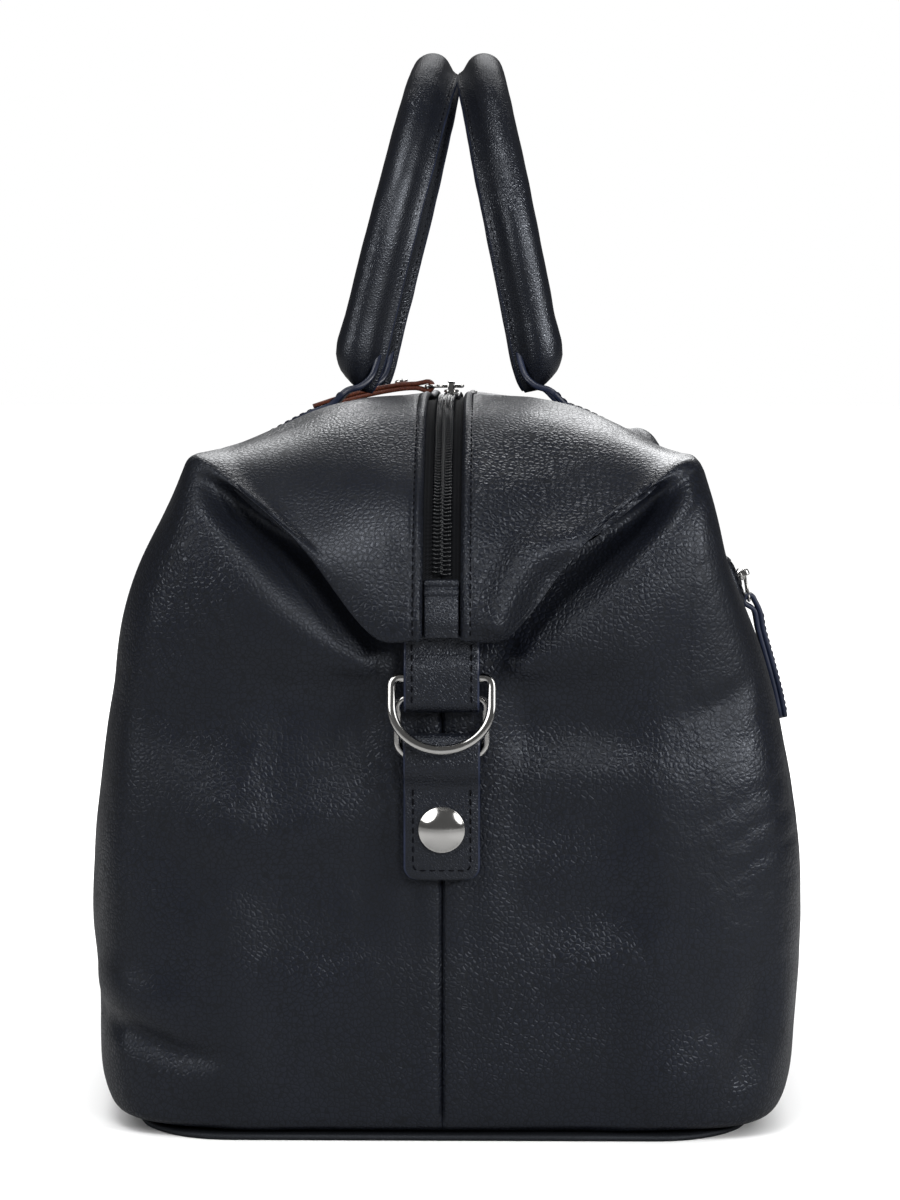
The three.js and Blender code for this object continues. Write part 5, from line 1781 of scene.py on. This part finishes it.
# Sides and start angle of each corner of a rounded outline
quarters = ((1, 1, 0), (-1, 1, 90), (-1, -1, 180), (1, -1, 270))


# The front panel's side as a table over Y and height, for what lies on it
sideYs = np.linspace(-pocketLook["sideReach"], pocketLook["sideReach"], pocketLook["sideCounts"][0])
sideZs = np.linspace(*pocketLook["sideHeights"], pocketLook["sideCounts"][1])


def makeSideTable():
    table = []
    for y in sideYs:
        spots, normals = pickOnLine(*crossLine(y, *pocketLook["sideLevels"]), 2, sideZs)
        table.append(np.concatenate([spots, normals], axis=1))
    return np.array(table)


sideTable = makeSideTable()


# Points on that side, lifted off the leather
def onSide(y, z, lift, wantsNormal=False):
    y, z, lift = np.broadcast_arrays(y, z, lift)
    u = np.clip((y - sideYs[0]) / (sideYs[1] - sideYs[0]), 0, len(sideYs) - 1.001)
    v = np.clip((z - sideZs[0]) / (sideZs[1] - sideZs[0]), 0, len(sideZs) - 1.001)
    i, j = u.astype(int), v.astype(int)
    a, b = (u - i)[..., None], (v - j)[..., None]
    found = (sideTable[i, j] * (1 - a) * (1 - b) + sideTable[i + 1, j] * a * (1 - b)
             + sideTable[i, j + 1] * (1 - a) * b + sideTable[i + 1, j + 1] * a * b)
    normal = unit(found[..., 3:])
    spot = np.stack([found[..., 0], y, z], axis=-1) + normal * lift[..., None]
    return (spot, normal) if wantsNormal else spot


def buildPocketZip():
    look = pocketLook
    low, high = (np.array(corner) * 1000 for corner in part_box("pocket_tape"))
    reach = high[1] - look["endGap"]
    middle = look["height"]
    ys = np.linspace(-reach, reach, look["tapeCuts"])
    ribs = look["tapeRibs"]
    across = np.linspace(-look["tapeHalf"], look["tapeHalf"], ribs)
    acrossAll = np.concatenate([across, across[::-1]])
    lifts = np.repeat([look["tapeLift"] + look["tapeThick"], look["tapeLift"] - look["tapeSunk"]], ribs)
    points = onSide(ys[:, None], middle + acrossAll[None, :], lifts[None, :])
    lay = np.stack(np.broadcast_arrays(ys[:, None], acrossAll[None, :], 0.0), axis=-1)
    addPiece("pocketTape", points.reshape(-1, 3), tubeFaces(len(ys), 2 * ribs), tapeCloth, "bag",
             ("pocket_tape",), sharp=50, lay=lay.reshape(-1, 3))

    turn = np.array(look["toothTurn"])
    sides = look["toothSides"]
    wide, lift, drift = coilTurn(turn[:, :2], turn[:, 2] * look["radius"], sides)
    count = int((2 * reach - 2 * look["coilGap"]) / look["pitch"])
    bodies = []
    for side, shift in ((1, 0.0), (-1, 0.5)):
        stops = -reach + look["coilGap"] + (np.arange(count) + shift) * look["pitch"]
        along = stops[:, None, None] + drift
        spots = onSide(along, middle + side * wide[None], look["coilLift"] + lift[None])
        bodies.append((spots.reshape(-1, 3), manyTubes(count, len(turn), sides)))
    points, faces = joined(*bodies)
    addPiece("pocketCoil", points, faces, coilNylon, "bag", ("pocket_chain",))
    return reach


# A sewn leather edging round the pocket's zip
def buildPocketWelt(reach):
    look = pocketLook
    middle = look["height"]
    corner = look["weltCorner"]
    endY, endZ = reach - corner + look["weltPast"], look["weltHalf"] - corner
    outline = np.vstack([
        arcRun((sy * endY, sz * endZ), corner, start, start + 90, 8) for sy, sz, start in quarters])
    outline = evenRun(np.vstack([outline, outline[:1]]), look["weltStep"])[:-1]
    way = tangents(outline, True)
    away = np.stack([way[:, 1], -way[:, 0]], axis=1)
    cut = np.array(look["weltCut"])
    flat = outline[:, None] + away[:, None] * cut[None, :, :1]
    points = onSide(flat[..., 0], middle + flat[..., 1], cut[None, :, 1])
    addPiece("pocketWelt", points.reshape(-1, 3), tubeFaces(len(outline), len(cut), True), smoothNavyLeather)
    sewn = outline + away * look["weltStitchAt"]
    spots, normals = onSide(sewn[:, 0], middle + sewn[:, 1], look["weltStitchLift"], True)
    points, faces = stitchMesh(spots, normals, True)
    addPiece("pocketStitch", points, faces, navyThread)


def buildPocketPull():
    look = pocketLook
    low, high = (np.array(corner) * 1000 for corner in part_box("pocket_slider"))
    y = (low[1] + high[1]) / 2
    spot, normal = onSide(y, look["height"], 0.0, True)
    along = unit(np.array([0, 1.0, 0]) - normal * normal[1])
    down = np.cross(along, normal)
    foot = spot + normal * look["sliderLift"]
    scale = look["sliderScale"]

    def laid(points, at, down, normal):
        return at + points[:, :1] * down + points[:, 1:2] * along + points[:, 2:] * normal
    points, faces = sliderMesh()
    addPiece("pocketSlider", laid(points * scale, foot, down, normal), faces, nickel, "bag",
             ("pocket_slider",), sharp=50)

    lean = math.radians(look["linkLean"])              # the link hangs in towards the leather
    leanDown = down * math.cos(lean) - normal * math.sin(lean)
    leanNormal = normal * math.cos(lean) + down * math.sin(lean)
    bail = foot + normal * pullLook["bailLift"] * scale + leanDown * look["linkSlip"]
    points, faces = linkMesh()
    points = laid(points * np.array([-1, -1, 1]) * scale, bail, leanDown, leanNormal)
    addPiece("pocketLink", points, faces, nickel, "bag", ("pocket_link",))

    bar = bail + leanDown * pullLook["linkReach"] * scale
    line = [(bar[0], bar[2])]
    for drop in look["pullDrops"]:
        face = onSide(y, bar[2] - drop, 0.0)
        lift = max(look["pullLeast"], look["pullLift"] - drop * look["pullFall"]) + look["pullLean"] * drop
        line.append((face[0] + lift, bar[2] - drop))
    points, faces, finish = pullMesh(line, bar[1])
    addPiece("pocketPull", points, faces, [smoothNavyLeather, edgePaint], "bag",
             ("pocket_pull",), finish)
    points, faces = joined(*pullStitches(line, bar[1], (1, 0)))
    addPiece("pocketPullStitch", points, faces, navyThread)


buildPocketWelt(buildPocketZip())
buildPocketPull()
print("pocket ready")


# Leather base with a rounded rim
baseLook = {
    "halfWidth": 118.0, "halfLength": 232.0, "corner": 38.0, "thick": 2.3, "cornerCuts": 24,
    # distance in from the outline and share of the thickness of each ring, from below to above
    "rings": [(36.0, 0.0), (14, 0.0), (1.2, 0.0), (0.35, 0.12), (0, 0.4), (0, 0.62), (0.4, 0.88),
              (1.3, 1.0), (14, 1.0), (36.0, 1.0)],
}


def buildBase():
    look = baseLook
    corner, cuts = look["corner"], look["cornerCuts"]
    x, y = look["halfWidth"] - corner, look["halfLength"] - corner
    away = np.vstack([arcRun((0, 0), 1.0, start, start + 90, cuts) for sx, sy, start in quarters])
    centre = np.repeat([(sx * x, sy * y) for sx, sy, start in quarters], cuts, axis=0)
    rings = []
    for inset, share in look["rings"]:
        flat = centre + away * (corner - inset)
        rings.append(np.concatenate([flat, np.full((len(flat), 1), share * look["thick"])], axis=1))
    addPiece("basePanel", np.vstack(rings), tubeFaces(len(rings), len(away)), baseLeather,
             "bag", ("base_panel",), sharp=60)


buildBase()
print("base ready")


# Pieces that a lamp alone lights, or alone leaves dark
def lampPieces(name, pieces, state):
    chosen = bpy.data.collections.new(name)
    for piece in pieces:
        chosen.objects.link(piece)
    for entry in chosen.collection_objects:
        entry.light_linking.link_state = state
    return chosen


# The metal mirrors wide lamps of its own instead of the small ones, and the handles have a softer rear lamp
def linkLamps():
    pieces = [piece for piece in bpy.context.scene.objects if piece.type == "MESH"]
    metal = [piece for piece in pieces if nickel in list(piece.data.materials)]
    handles = [piece for piece in pieces if piece.name in ("frontHandle", "backHandle")]
    metalLit = lampPieces("metalPieces", metal, "INCLUDE")
    for lamp in studio["metalLamps"]:
        addLamp(*lamp).light_linking.receiver_collection = metalLit
    handlesLit = lampPieces("handlePieces", handles, "INCLUDE")
    addLamp(*studio["handleLamp"]).light_linking.receiver_collection = handlesLit
    metalUnlit = lampPieces("metalUnlit", metal, "EXCLUDE")
    handlesUnlit = lampPieces("handlesUnlit", handles, "EXCLUDE")
    for lamp in studio["lamps"]:
        unlit = handlesUnlit if lamp[0] == "rearLamp" else metalUnlit
        bpy.data.objects[lamp[0]].light_linking.receiver_collection = unlit


linkLamps()
print("lamps linked")
